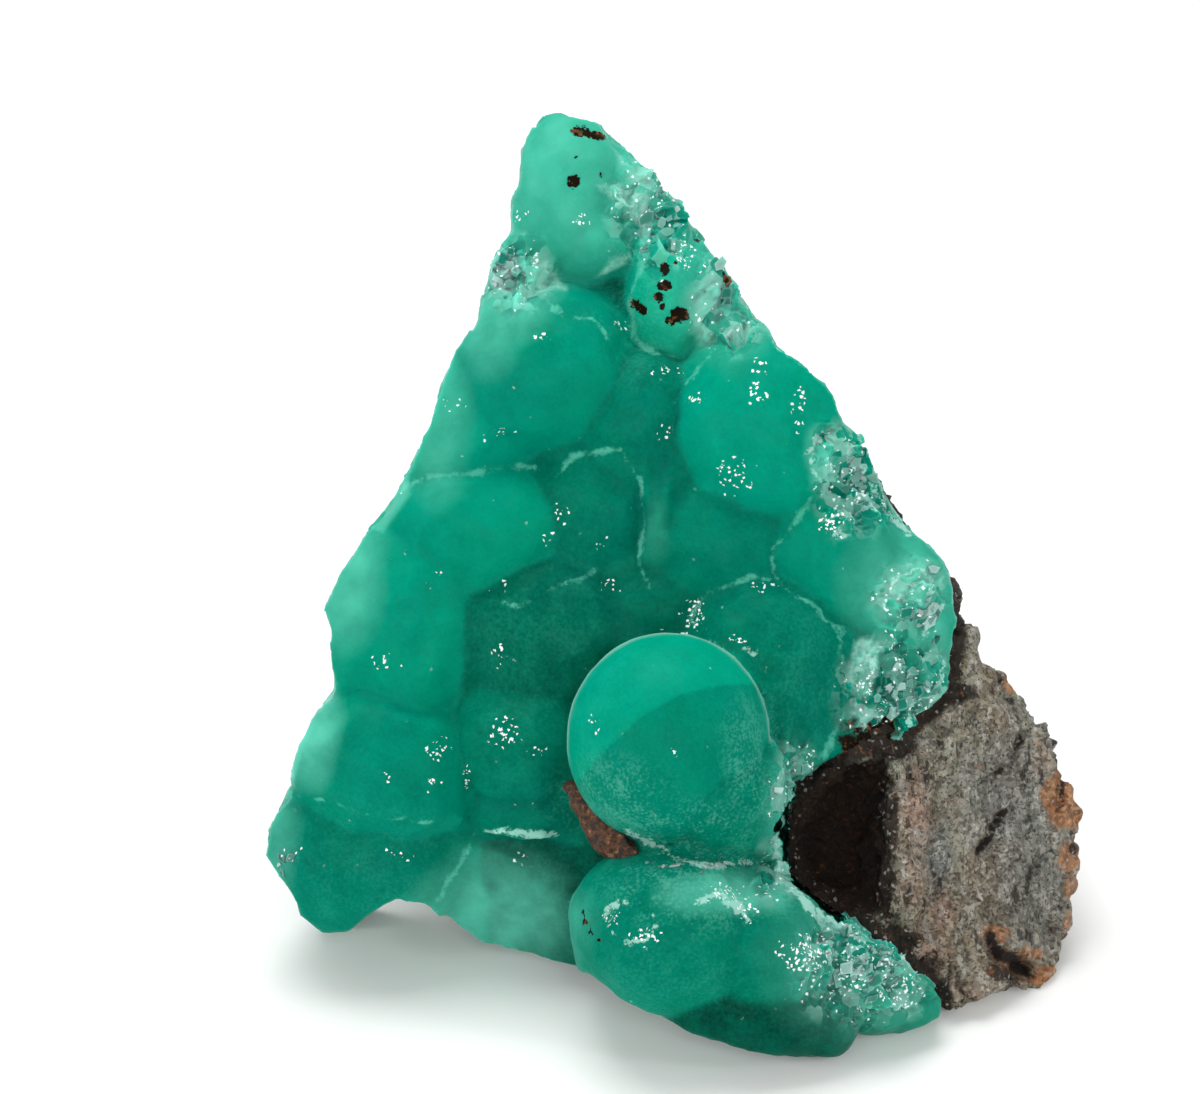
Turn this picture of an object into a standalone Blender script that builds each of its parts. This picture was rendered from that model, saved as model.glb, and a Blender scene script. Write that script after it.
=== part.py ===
"""Botryoidal smithsonite on its matrix rock, a hand specimen that stands on broken feet.

The bubbly face leans back. Shapes are laid out on that face, in millimetres: across to the right,
up the slope of the face, and out from it towards the viewer. on_face() turns such a place into the
standing frame, where Z is up, the floor is Z = 0 and Y runs away from the viewer.
"""

import math
import random

import bmesh
import bpy
from mathutils import Euler, Matrix, Vector

# Driving dimensions, in millimetres and degrees
FACE_LEAN = 27.0
ORIGIN_ON_FACE = Vector((0.11, -11.19, 0.4))
CONTACT_GAP = 0.6
SLIVER = 0.004
SHARP_ABOVE = 35.0
MM = 0.001

CRUST_VOXEL = 0.5
CRUST_KEEPS = 0.085
ROCK_VOXEL = 0.8
ROCK_KEEPS = 0.11
LOBE_STEPS = 4

# Finishes: base colour, roughness
TEAL = ((0.010, 0.300, 0.190, 1.0), 0.30)
ROCK_GREY = ((0.200, 0.185, 0.160, 1.0), 0.80)
RUST_BROWN = ((0.045, 0.018, 0.008, 1.0), 0.85)

# Flat breaks: a place on the break, and the way it faces, both on the face
BREAKS = {
    "back_left": ((-22.0, 24.0, -7.0), (-0.60, 0.31, -0.74)),
    "left_upper": ((-11.3, 44.7, 3.6), (-0.50, 0.55, 0.67)),
    "under_left": ((-19.7, 12.5, 4.7), (-0.05, -0.82, 0.57)),
}

# Lobes: across, up, how far the crown stands out, half width, half height, half depth, turn
LOBES = (
    ("apex", -7.2, 53.7, 1.7, 4.1, 6.2, 5.0, 0),
    ("apex_low", -5.0, 50.6, 1.5, 3.5, 3.1, 3.6, 20),
    ("apex_right", -2.3, 53.6, 0.6, 3.1, 4.1, 4.0, 35),
    ("shoulder", -10.3, 49.2, 1.0, 3.3, 3.5, 4.0, 30),
    ("valley", -4.6, 45.5, 0.6, 4.4, 4.4, 4.0, 0),
    ("knob", -0.5, 47.3, 3.0, 2.9, 4.4, 4.4, 0),
    ("knob_right", 2.7, 46.9, 2.2, 4.1, 5.2, 4.6, 40),
    ("big_left", -9.0, 41.9, 4.6, 6.9, 6.1, 5.2, 20),
    ("big_left_low", -14.2, 38.7, 3.4, 6.4, 6.1, 5.0, 20),
    ("left_pillow", -13.1, 31.3, 4.6, 6.4, 4.8, 4.8, -4),
    ("left_edge", -18.2, 24.9, 4.6, 6.4, 8.0, 6.0, 0),
    ("centre", -5.5, 32.5, 3.9, 4.9, 5.9, 5.0, 0),
    ("centre_top", -2.3, 38.4, 4.7, 4.1, 5.6, 5.0, -10),
    ("dimple", -0.2, 34.9, 3.6, 2.3, 2.8, 2.6, 0),
    ("big_right", 5.8, 38.4, 6.2, 6.9, 6.7, 5.8, -30),
    ("right_pillow", 2.9, 30.3, 4.7, 5.3, 5.1, 4.8, 0),
    ("right_cell", 10.1, 29.9, 4.8, 5.1, 5.3, 5.4, 0),
    ("right_edge", 15.0, 26.7, 3.2, 4.7, 5.6, 5.0, 20),
    ("right_strip", 11.4, 34.3, 2.6, 3.9, 5.0, 4.4, 30),
    ("centre_low", -8.7, 24.1, 5.0, 7.3, 6.5, 5.6, 0),
    ("centre_foot", -10.2, 17.2, 5.4, 4.8, 4.9, 5.0, 0),
    ("saddle_low", -1.5, 25.9, 3.8, 4.1, 3.7, 3.6, 0),
    ("low_left", -19.4, 15.7, 6.0, 7.1, 5.2, 5.6, -14),
    ("low_left_rim", -23.8, 17.2, 3.4, 3.7, 5.2, 4.6, 20),
    ("left_under", -20.6, 9.9, 3.2, 7.9, 6.0, 5.0, 6),
    ("behind_ball", 5.8, 21.9, 6.4, 6.3, 7.1, 6.0, 0),
    ("right_broken", 13.9, 21.1, 3.4, 5.2, 5.3, 5.0, 0),
    ("ball", -0.5, 17.5, 14.0, 6.7, 7.1, 7.0, 0),
    ("ball_skirt", 2.7, 14.0, 12.4, 4.9, 5.1, 7.0, 0),
    ("front_low", -0.2, 4.7, 14.4, 6.9, 5.9, 7.4, -8),
    ("front_low_right", 5.4, 3.6, 13.2, 5.3, 5.6, 7.0, 0),
    ("front_under", 4.5, 0.1, 12.2, 6.9, 3.6, 5.0, -8),
    ("front_toe", 9.4, -0.7, 10.2, 2.9, 2.8, 3.4, 0),
    ("front_broken", 12.2, 2.9, 9.4, 5.6, 4.8, 5.8, -30),
    ("front_corner", 15.4, 0.7, 6.8, 2.9, 2.8, 3.6, -30),
    ("under_centre", -8.5, 9.6, 2.6, 5.1, 4.4, 5.0, -20),
    ("under_strip", -9.5, 12.5, 4.1, 4.1, 2.0, 3.4, 0),
)

# Places where the crust is broken into blocky cleavage chips:
# across, up, spread across and up, length of a chip, and how many
CHIP_ZONES = (
    ("apex_right", -1.9, 52.4, 2.2, 2.6, 1.9, 8),
    ("shoulder", -10.9, 48.8, 1.4, 1.8, 1.7, 6),
    ("knob_right", 3.6, 46.6, 1.6, 2.4, 1.8, 6),
    ("right_strip", 11.8, 34.6, 1.8, 3.0, 2.0, 9),
    ("right_edge", 15.6, 26.8, 2.2, 2.0, 2.0, 7),
    ("right_broken", 14.6, 20.8, 2.8, 2.8, 2.2, 16),
    ("ball_right", 7.2, 13.6, 1.6, 2.8, 1.8, 9),
    ("front_broken", 12.0, 3.0, 4.4, 3.4, 2.2, 24),
)
CHIP_SUNK = 0.25

# The broken edge of the crust, and of the rock, seen square on the face: across, up
CRUST_EDGE = (
    (-8.6, 59.1), (-7.5, 59.1), (-4.9, 58.5), (-3.3, 56.9), (-1.5, 54.8), (-0.2, 53.2), (1.3, 51.6),
    (2.1, 50.4), (3.1, 48.9), (4.2, 47.7), (4.6, 46.4), (6.2, 44.7), (6.7, 43.5), (8.7, 42.1),
    (10.6, 40.1), (10.9, 38.9), (11.8, 37.3), (12.9, 36.3), (13.7, 34.3), (15.0, 32.0), (16.9, 30.4),
    (17.9, 29.2), (18.6, 27.3), (18.7, 24.9), (18.3, 22.7), (18.1, 20.7), (16.5, 19.2), (15.0, 18.0),
    (13.9, 16.8), (11.8, 15.7), (9.7, 14.0), (7.7, 11.9), (7.3, 8.8), (10.1, 6.5), (12.9, 4.3),
    (15.4, 2.5), (17.5, 0.4), (17.4, -0.8), (15.0, -2.0), (12.7, -2.4), (11.4, -3.3), (8.3, -3.2),
    (4.9, -2.8), (1.3, -1.7), (-1.0, -0.5), (-3.7, 0.7), (-5.7, 2.3), (-7.7, 2.3), (-10.3, 2.8),
    (-13.0, 3.7), (-15.3, 4.9), (-16.6, 6.4), (-18.5, 6.9), (-20.2, 5.9), (-21.8, 4.5), (-23.4, 4.4),
    (-25.0, 5.6), (-25.5, 7.1), (-27.4, 9.6), (-27.0, 11.5), (-26.1, 13.3), (-25.1, 16.5),
    (-24.1, 18.8), (-22.7, 20.7), (-23.0, 22.7), (-22.9, 24.8), (-23.3, 26.3), (-21.9, 28.9),
    (-20.6, 31.1), (-19.1, 32.9), (-17.7, 35.3), (-16.3, 38.3), (-15.4, 41.1), (-14.6, 43.2),
    (-13.1, 45.2), (-12.9, 46.7), (-12.3, 48.8), (-11.7, 50.3), (-10.9, 51.3), (-11.1, 52.9),
    (-10.5, 54.4), (-10.3, 56.7), (-9.7, 58.0),
)
ROCK_EDGE = (
    (-7.0, 54.0), (1.6, 49.4), (7.6, 43.4), (10.9, 39.2), (11.8, 38.2), (12.8, 37.4), (14.0, 35.4),
    (14.5, 33.4), (15.8, 31.4), (16.4, 30.4), (17.9, 29.6), (19.1, 28.0), (19.2, 26.6), (18.9, 25.6),
    (19.8, 24.0), (19.8, 23.0), (20.7, 22.2), (21.7, 21.9), (22.4, 21.2), (23.6, 21.2), (24.3, 19.7),
    (25.5, 18.5), (25.9, 16.8), (27.2, 14.8), (26.8, 13.4), (27.3, 12.4), (26.8, 11.0), (27.5, 8.8),
    (26.6, 6.7), (27.1, 5.0), (27.0, 3.3), (25.8, 1.8), (24.4, 0.8), (22.8, 1.0), (21.0, 0.5),
    (18.4, -0.7), (12.0, -4.0), (-12.0, -4.0), (-20.0, 6.0), (-18.0, 30.0),
)
EDGE_FRONT = 22.0
EDGE_BACK = -46.0

# Convex solids by their corners on the face
BED_FRONT = (
    (-9.6, 56.4, -1.5), (-10.6, 50.0, -0.8), (-14.6, 40.0, 0.2), (-18.4, 32.0, 0.6), (-21.6, 26.4, 0.6),
    (-21.8, 20.6, 0.8), (-24.2, 16.0, 1.0), (-24.8, 12.6, 0.0), (-21.0, 9.0, -2.0), (-13.0, 8.5, 1.0),
    (-6.0, 8.5, 2.0), (-1.0, 14.0, 5.0), (7.0, 14.0, 5.0), (15.0, 18.6, 1.6), (18.8, 22.6, 0.6),
    (18.2, 26.0, 0.4), (16.8, 29.4, 0.4), (12.8, 35.4, 0.2), (9.8, 39.4, 0.6), (5.2, 44.2, 0.2),
    (1.0, 50.0, -0.6), (-2.6, 54.0, -1.2), (-5.6, 57.2, -1.5),
)
BED_DEPTH = 7.0
LOW_BED = (
    (-5.0, 9.5, 6.0), (9.0, 12.0, 6.0), (13.5, 6.0, 5.0), (12.0, 0.5, 5.5), (3.0, 1.0, 8.0),
    (-4.5, 3.5, 7.0), (-6.0, 8.5, -3.0), (9.0, 12.0, -1.0), (13.0, 6.0, 1.0), (12.0, 1.5, 3.0),
    (-4.5, 4.5, 1.0), (-6.6, 2.6, 3.0), (-5.0, 1.4, 7.0),
)
LEFT_FOOT = (
    (-25.8, 13.8, 1.6), (-27.0, 9.8, -2.6), (-25.5, 6.9, -6.0), (-23.6, 3.9, -9.4), (-21.4, 3.9, -9.6),
    (-18.3, 6.9, -6.2), (-15.6, 7.4, -3.0), (-14.0, 12.4, 3.6), (-20.0, 13.4, 4.4), (-22.5, 14.0, -9.0),
    (-25.4, 10.8, -8.4), (-16.5, 10.0, -9.5), (-18.5, 5.8, -10.6), (-22.5, 4.4, -12.5),
)
PALE_FACET = (
    (-13.7, 10.1, 1.8), (-16.3, 6.3, -1.6), (-13.0, 3.7, -2.4), (-5.8, 2.0, -1.0), (-5.8, 6.4, 2.0),
    (-11.0, 9.6, 2.8), (-13.0, 9.0, -6.0), (-8.0, 4.5, -6.0), (-13.2, 5.0, -6.0), (-7.0, 9.0, -5.0),
)
PALE_LEDGE = (
    (-12.8, 11.9, 1.0), (-7.9, 11.6, 1.6), (-12.4, 11.2, 3.9), (-8.4, 11.2, 4.3), (-10.4, 11.8, 4.3),
    (-12.0, 10.8, 1.0), (-8.2, 10.8, 1.6),
)
CUT_STRIP = (
    (-2.2, 34.6, 3.6), (-0.4, 34.4, 4.0), (-2.0, 29.0, 3.4), (-0.3, 29.2, 3.8), (-1.0, 31.8, 4.4),
    (-2.4, 32.0, 1.0), (0.2, 32.0, 1.0), (-1.0, 28.6, 1.0), (-1.0, 35.0, 1.0),
)

# The rock: corners of its front, on the face, and of its unseen back, as places to the right of,
# behind and above the origin of the face
ROCK_FRONT = (
    (11.0, 38.2, -5.0), (13.6, 35.2, -4.6), (15.8, 31.4, -4.0), (18.2, 28.4, -3.6), (19.0, 25.2, -3.0),
    (21.2, 21.8, -1.6), (23.2, 20.2, -2.8), (26.2, 15.2, -4.6), (27.0, 8.8, -5.2), (26.4, 3.6, -4.2),
    (24.6, 0.2, -2.2), (21.0, 0.0, 0.0), (18.4, -0.4, 1.8), (13.4, 4.0, 4.0), (13.4, 13.6, 3.4),
    (15.4, 19.0, 1.2), (-6.0, 53.4, -6.6), (-11.0, 45.0, -9.0), (-13.4, 35.0, -9.0), (-16.0, 20.0, -9.5),
)
ROCK_BACK = (
    (-7.0, 31.5, 44.1), (2.0, 32.5, 31.6), (10.0, 32.5, 20.6), (16.0, 31.5, 11.6), (22.5, 28.0, 3.6),
    (20.5, 26.5, -1.2), (5.0, 33.5, -1.2), (-9.0, 31.0, -1.2), (-15.5, 26.5, 7.6), (-14.0, 30.0, 20.6),
    (-11.0, 31.0, 32.6), (-9.0, 19.5, -1.0), (17.0, 15.5, -1.2),
)
ROCK_LEDGES = (
    ((13.9, 16.2, 3.0), (15.6, 16.8, 3.2), (14.3, 11.0, 4.8), (16.4, 10.6, 4.2), (14.0, 6.4, 4.9),
     (16.6, 3.6, 3.9), (15.0, 3.2, 3.6), (17.6, 9.0, 2.0), (14.2, 10.0, 1.0)),
    ((26.2, 15.4, -5.0), (27.4, 8.8, -5.4), (24.6, 14.0, -3.2), (25.0, 9.0, -3.4), (27.2, 12.6, -4.6),
     (22.0, 12.0, -6.0), (25.8, 11.4, -9.0)),
    ((21.0, 4.2, 1.4), (25.4, 4.8, -2.0), (24.2, 0.4, -1.6), (20.6, -0.4, 1.4), (18.2, 0.4, 2.8),
     (22.0, 2.4, -5.0), (19.0, 5.2, 1.4)),
)
# The hollow in front of the rock: its mouth, well out from the face, and its floor
VUG_MOUTH = (
    (6.6, 11.4, 9.0), (8.0, 14.2, 9.0), (12.0, 16.4, 9.0), (14.2, 17.6, 7.0), (14.0, 11.6, 9.0),
    (13.2, 6.0, 9.0), (11.0, 5.8, 9.0), (7.6, 7.8, 9.0),
)
VUG_FLOOR = (
    (7.2, 11.2, 2.6), (8.2, 13.4, 2.4), (11.6, 15.6, 1.6), (13.8, 16.4, 1.6), (14.0, 11.2, 1.8),
    (13.4, 6.0, 1.8), (10.8, 5.6, 2.2), (7.8, 7.6, 2.4), (9.2, 11.4, -2.4), (11.6, 13.4, -3.0),
    (12.4, 10.8, -3.4), (11.6, 7.8, -2.8), (9.6, 8.6, -2.2),
)

# The thin plate of limonite wedged under the ball
BLADE_FRONT = ((-7.5, 14.4, 6.6), (-6.2, 14.8, 6.8), (-2.6, 10.2, 9.6), (-3.2, 8.8, 9.2), (-5.4, 10.6, 8.0))
BLADE_DEPTH = 5.5


def off_face(across, up, out):
    """A direction on the leaning face, turned into the standing frame."""
    lean = math.radians(FACE_LEAN)
    return Vector(
        (
            across,
            up * math.sin(lean) - out * math.cos(lean),
            up * math.cos(lean) + out * math.sin(lean),
        )
    )


def on_face(across, up, out):
    """A place on the leaning face, as a point of the standing frame."""
    return ORIGIN_ON_FACE + off_face(across, up, out)


def face_matrix(across, up, out):
    """The frame whose axes run across, up and out of the face at one place."""
    turn = Matrix((off_face(1, 0, 0), off_face(0, 1, 0), off_face(0, 0, 1))).transposed()
    return Matrix.Translation(on_face(across, up, out)) @ turn.to_4x4()


def clear_scene():
    for old in list(bpy.data.objects):
        bpy.data.objects.remove(old)


def finish(name, values):
    colour, roughness = values
    material = bpy.data.materials.new(name)
    material.use_nodes = True
    shader = material.node_tree.nodes["Principled BSDF"]
    shader.inputs["Base Color"].default_value = colour
    shader.inputs["Roughness"].default_value = roughness
    shader.inputs["Metallic"].default_value = 0.0
    return material


def add_object(name, bm, helper=False):
    mesh = bpy.data.meshes.new(name)
    bmesh.ops.scale(bm, vec=(MM, MM, MM), verts=bm.verts)
    bmesh.ops.recalc_face_normals(bm, faces=bm.faces)
    bm.to_mesh(mesh)
    bm.free()
    obj = bpy.data.objects.new(name, mesh)
    bpy.context.scene.collection.objects.link(obj)
    if helper:
        obj.hide_render = True
        obj.display_type = "WIRE"
    return obj


def prism(name, edge):
    """The space inside an edge drawn on the face, to cut everything beside it away."""
    bm = bmesh.new()
    front = [bm.verts.new(on_face(*spot, EDGE_FRONT)) for spot in edge]
    back = [bm.verts.new(on_face(*spot, EDGE_BACK)) for spot in edge]
    bm.faces.new(front)
    bm.faces.new(back)
    for step in range(len(edge)):
        bm.faces.new((front[step - 1], front[step], back[step], back[step - 1]))
    bmesh.ops.triangulate(bm, faces=[face for face in bm.faces if len(face.verts) > 4])
    return add_object(name, bm, helper=True)


def break_off(bm, breaks):
    """Cuts a convex shape along each flat break and closes the cut."""
    for name in breaks:
        place, faces = BREAKS[name]
        cut = bmesh.ops.bisect_plane(
            bm,
            geom=bm.verts[:] + bm.edges[:] + bm.faces[:],
            plane_co=on_face(*place),
            plane_no=off_face(*faces),
            clear_outer=True,
        )
        rim = [e for e in cut["geom_cut"] if isinstance(e, bmesh.types.BMEdge)]
        if rim:
            bmesh.ops.edgeloop_fill(bm, edges=rim)


def add_to(whole, piece):
    """Moves the faces of one bmesh into another."""
    mesh = bpy.data.meshes.new("piece")
    piece.to_mesh(mesh)
    piece.free()
    whole.from_mesh(mesh)
    bpy.data.meshes.remove(mesh)


def lobe_height(lobe, across, up):
    """How far a lobe stands out at a place on the face, or nothing beside the lobe."""
    _name, middle, height, crown, wide, high, deep, turn = lobe
    beside = Matrix.Rotation(math.radians(-turn), 2) @ Vector((across - middle, up - height))
    inside = 1.0 - (beside.x / wide) ** 2 - (beside.y / high) ** 2
    return crown - deep * (1.0 - math.sqrt(inside)) if inside > 0.0 else None


def face_height(across, up):
    heights = [lobe_height(lobe, across, up) for lobe in LOBES]
    return max((height for height in heights if height is not None), default=0.0)


def add_lobe(whole, lobe, breaks=()):
    _name, across, up, crown, wide, high, deep, turn = lobe
    bm = bmesh.new()
    turned = Matrix.Rotation(math.radians(turn), 4, "Z")
    matrix = face_matrix(across, up, crown - deep) @ turned @ Matrix.Diagonal((wide, high, deep, 1.0))
    bmesh.ops.create_icosphere(bm, subdivisions=LOBE_STEPS, radius=1.0, matrix=matrix)
    break_off(bm, breaks)
    add_to(whole, bm)


def add_block(whole, corners, breaks=()):
    """The convex solid around hand-placed corner points."""
    bm = bmesh.new()
    verts = [bm.verts.new(c) for c in corners]
    bmesh.ops.convex_hull(bm, input=verts)
    inner = [v for v in bm.verts if not v.link_faces]
    bmesh.ops.delete(bm, geom=inner, context="VERTS")
    break_off(bm, breaks)
    add_to(whole, bm)


def add_chips(whole, zone, draw):
    """Skewed boxes at random angles, like broken cleavage rhombs of the crust."""
    _name, across, up, wide, high, length, count = zone
    for _ in range(count):
        spot = (across + draw.uniform(-wide, wide), up + draw.uniform(-high, high))
        turn = Euler([draw.uniform(-math.pi, math.pi) for _axis in range(3)]).to_matrix().to_4x4()
        skew = Matrix.Shear("XY", 4, (0.3, 0.3))
        size = length * draw.uniform(0.6, 1.0)
        scale = Matrix.Diagonal((size, size * 0.8, size * draw.uniform(0.4, 0.7), 1.0))
        matrix = face_matrix(*spot, face_height(*spot) - CHIP_SUNK) @ turn @ skew @ scale
        bm = bmesh.new()
        bmesh.ops.create_cube(bm, size=1.0, matrix=matrix)
        add_to(whole, bm)


def add_modifier(obj, kind, **settings):
    modifier = obj.modifiers.new(kind.lower(), kind)
    for name, value in settings.items():
        setattr(modifier, name, value)
    return modifier


def cut_with(obj, cutter, operation="DIFFERENCE"):
    add_modifier(obj, "BOOLEAN", operation=operation, solver="EXACT", object=cutter)


def noise(name, size):
    texture = bpy.data.textures.new(name, "CLOUDS")
    texture.noise_scale = size * MM
    texture.noise_basis = "VORONOI_F1"
    return texture


def floor_cutter():
    bm = bmesh.new()
    bmesh.ops.create_cube(bm, size=100.0, matrix=Matrix.Translation((0.0, 0.0, -50.0)))
    return add_object("below_floor", bm, helper=True)


def vug_cutter():
    bm = bmesh.new()
    add_block(bm, [on_face(*corner) for corner in VUG_MOUTH + VUG_FLOOR])
    obj = add_object("vug_hollow", bm, helper=True)
    add_modifier(obj, "REMESH", mode="VOXEL", voxel_size=ROCK_VOXEL * MM)
    add_modifier(obj, "DISPLACE", texture=noise("vug_walls", 2.5), strength=1.4 * MM, mid_level=0.5)
    add_modifier(obj, "DECIMATE", ratio=ROCK_KEEPS)
    return obj


def crust_lumps():
    """Every lobe, block and chip of the crust, overlapping, before they fuse into one skin."""
    bm = bmesh.new()
    for lobe in LOBES:
        breaks = ["back_left"]
        if lobe[0] == "big_left":
            breaks.append("left_upper")
        if lobe[0].startswith("low_left"):
            breaks.append("under_left")
        add_lobe(bm, lobe, breaks)
    bed_back = [(across, up, out - BED_DEPTH) for across, up, out in BED_FRONT]
    for block in (BED_FRONT + tuple(bed_back), LOW_BED, LEFT_FOOT, PALE_FACET, PALE_LEDGE, CUT_STRIP):
        add_block(bm, [on_face(*corner) for corner in block], ("back_left",))
    draw = random.Random(11)
    for zone in CHIP_ZONES:
        add_chips(bm, zone, draw)
    return bm


def rock_lumps():
    bm = bmesh.new()
    add_block(bm, [on_face(*c) for c in ROCK_FRONT] + [ORIGIN_ON_FACE + Vector(c) for c in ROCK_BACK])
    for ledge in ROCK_LEDGES:
        add_block(bm, [on_face(*c) for c in ledge])
    return bm


def roughen_rock(obj):
    add_modifier(obj, "REMESH", mode="VOXEL", voxel_size=ROCK_VOXEL * MM)
    add_modifier(obj, "DISPLACE", texture=noise("rock_lumps", 7.0), strength=2.4 * MM, mid_level=0.5)
    add_modifier(obj, "DISPLACE", texture=noise("rock_grains", 2.6), strength=0.9 * MM, mid_level=0.5)
    add_modifier(obj, "DECIMATE", ratio=ROCK_KEEPS)


def rock():
    obj = add_object("matrix_rock", rock_lumps())
    roughen_rock(obj)
    return obj


def rock_clearance():
    """The rock grown by the contact gap, to keep the crust clear of it."""
    obj = add_object("rock_clearance", rock_lumps(), helper=True)
    roughen_rock(obj)
    add_modifier(obj, "DISPLACE", strength=CONTACT_GAP * MM, mid_level=0.0)
    return obj


def blade_lumps(grow):
    bm = bmesh.new()
    corners = [on_face(*c) for c in BLADE_FRONT]
    corners += [on_face(a + 0.6, u + 0.2, o - BLADE_DEPTH) for a, u, o in BLADE_FRONT]
    add_block(bm, corners)
    bmesh.ops.recalc_face_normals(bm, faces=bm.faces)
    for vert in bm.verts:
        vert.normal_update()
    for vert in bm.verts:
        vert.co += vert.normal * grow
    return bm


def crust():
    obj = add_object("smithsonite_crust", crust_lumps())
    add_modifier(obj, "REMESH", mode="VOXEL", voxel_size=CRUST_VOXEL * MM)
    add_modifier(obj, "DECIMATE", ratio=CRUST_KEEPS)
    return obj


def blade():
    return add_object("limonite_blade", blade_lumps(0.0))


def islands(bm):
    """The separate pieces of a mesh, as lists of vertices, the largest first."""
    left = set(bm.verts)
    found = []
    while left:
        queue = [left.pop()]
        for vert in queue:
            near = {edge.other_vert(vert) for edge in vert.link_edges} & left
            left -= near
            queue.extend(near)
        found.append(queue)
    return sorted(found, key=len, reverse=True)


def settle(obj):
    """Replaces the modifiers by their result and drops slivers and loose crumbs."""
    graph = bpy.context.evaluated_depsgraph_get()
    mesh = bpy.data.meshes.new_from_object(obj.evaluated_get(graph))
    bm = bmesh.new()
    bm.from_mesh(mesh)
    bmesh.ops.triangulate(bm, faces=bm.faces)
    bmesh.ops.dissolve_degenerate(bm, edges=bm.edges, dist=SLIVER * MM)
    for crumb in islands(bm)[1:]:
        bmesh.ops.delete(bm, geom=crumb, context="VERTS")
    bm.to_mesh(mesh)
    bm.free()
    mesh.shade_smooth()
    mesh.set_sharp_from_angle(angle=math.radians(SHARP_ABOVE))
    obj.modifiers.clear()
    obj.data = mesh


def stand_on_origin(nodes):
    """Moves the nodes so that the origin is the middle of the underside of their box."""
    spots = [node.matrix_world @ vert.co for node in nodes for vert in node.data.vertices]
    low = Vector([min(spot[axis] for spot in spots) for axis in range(3)])
    high = Vector([max(spot[axis] for spot in spots) for axis in range(3)])
    for node in nodes:
        node.data.transform(Matrix.Translation((-(low.x + high.x) / 2, -(low.y + high.y) / 2, -low.z)))


def build():
    clear_scene()
    floor = floor_cutter()
    vug = vug_cutter()
    rock_room = rock_clearance()
    blade_room = add_object("blade_clearance", blade_lumps(2.0 * CONTACT_GAP), helper=True)

    crust_edge = prism("crust_edge", CRUST_EDGE)
    rock_edge = prism("rock_edge", ROCK_EDGE)

    skin = crust()
    cut_with(skin, crust_edge, "INTERSECT")
    for cutter in (rock_room, blade_room, vug, floor):
        cut_with(skin, cutter)
    stone = rock()
    cut_with(stone, rock_edge, "INTERSECT")
    for cutter in (vug, floor):
        cut_with(stone, cutter)
    plate = blade()

    nodes = (skin, stone, plate)
    for node, name, values in zip(
        nodes, ("teal_smithsonite", "grey_rock", "limonite"), (TEAL, ROCK_GREY, RUST_BROWN)
    ):
        settle(node)
        node.data.materials.append(finish(name, values))
    for cutter in (rock_room, blade_room, vug, floor, crust_edge, rock_edge):
        bpy.data.objects.remove(cutter)
    stand_on_origin(nodes)


build()
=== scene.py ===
# %% [markdown]
# # Botryoidal smithsonite, dressed for a close look
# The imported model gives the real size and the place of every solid. This lesson grows a finer skin
# over the same forms, paints it with node materials and lights it softly, as on a light table.

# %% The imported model
import math
import random

import bmesh
import bpy
import numpy as np
from mathutils import Euler, Matrix, Vector, kdtree, noise
from mathutils.bvhtree import BVHTree


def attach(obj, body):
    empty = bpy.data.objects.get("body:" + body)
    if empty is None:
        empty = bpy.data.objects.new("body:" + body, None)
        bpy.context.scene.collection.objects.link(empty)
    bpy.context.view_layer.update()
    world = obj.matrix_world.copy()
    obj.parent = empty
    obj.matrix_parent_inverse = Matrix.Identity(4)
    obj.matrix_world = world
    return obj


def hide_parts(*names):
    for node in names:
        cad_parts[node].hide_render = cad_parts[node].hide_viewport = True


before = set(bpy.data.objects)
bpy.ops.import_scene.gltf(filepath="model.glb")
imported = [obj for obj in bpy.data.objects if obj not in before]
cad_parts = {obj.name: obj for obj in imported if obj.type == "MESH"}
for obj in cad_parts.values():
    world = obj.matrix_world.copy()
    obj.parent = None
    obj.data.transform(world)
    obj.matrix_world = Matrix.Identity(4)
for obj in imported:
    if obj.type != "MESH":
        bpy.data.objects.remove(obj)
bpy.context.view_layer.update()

# %% [markdown]
# The bubbly face leans back, so every shape is laid out on that face in millimetres: across to the
# right, up its slope and out towards the viewer. One matrix carries those places into the frame.

# %% The frame of the face
MM = 0.001
FACE_LEAN = math.radians(27.0)
ORIGIN_ON_FACE = Vector((0.11, -11.22, 0.4))
ACROSS = Vector((1.0, 0.0, 0.0))
UP = Vector((0.0, math.sin(FACE_LEAN), math.cos(FACE_LEAN)))
OUT = Vector((0.0, -math.cos(FACE_LEAN), math.sin(FACE_LEAN)))
FACE_TURN = Matrix((ACROSS, UP, OUT)).transposed()


def on_face(across, up, out):
    return ORIGIN_ON_FACE + FACE_TURN @ Vector((across, up, out))


def face_matrix(across, up, out):
    return Matrix.Translation(on_face(across, up, out)) @ FACE_TURN.to_4x4()


def face_places(spots):
    """World places in metres, one per row, as places on the face in millimetres."""
    return (spots / MM - np.array(ORIGIN_ON_FACE)) @ np.array(FACE_TURN)


print("The face looks", round(math.degrees(FACE_LEAN)), "degrees above the horizon")

# %% [markdown]
# A camera far away with a long lens looks square at the leaning face, as the photographer did. The
# distance is what makes the piece look flat and calm.

# %% The camera
CAMERA_DISTANCE = 500.0
FRAME_WIDTH = 80.0
SENSOR = 36.0
FRAME_CENTRE = (-5.0, 30.2, 0.0)

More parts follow.
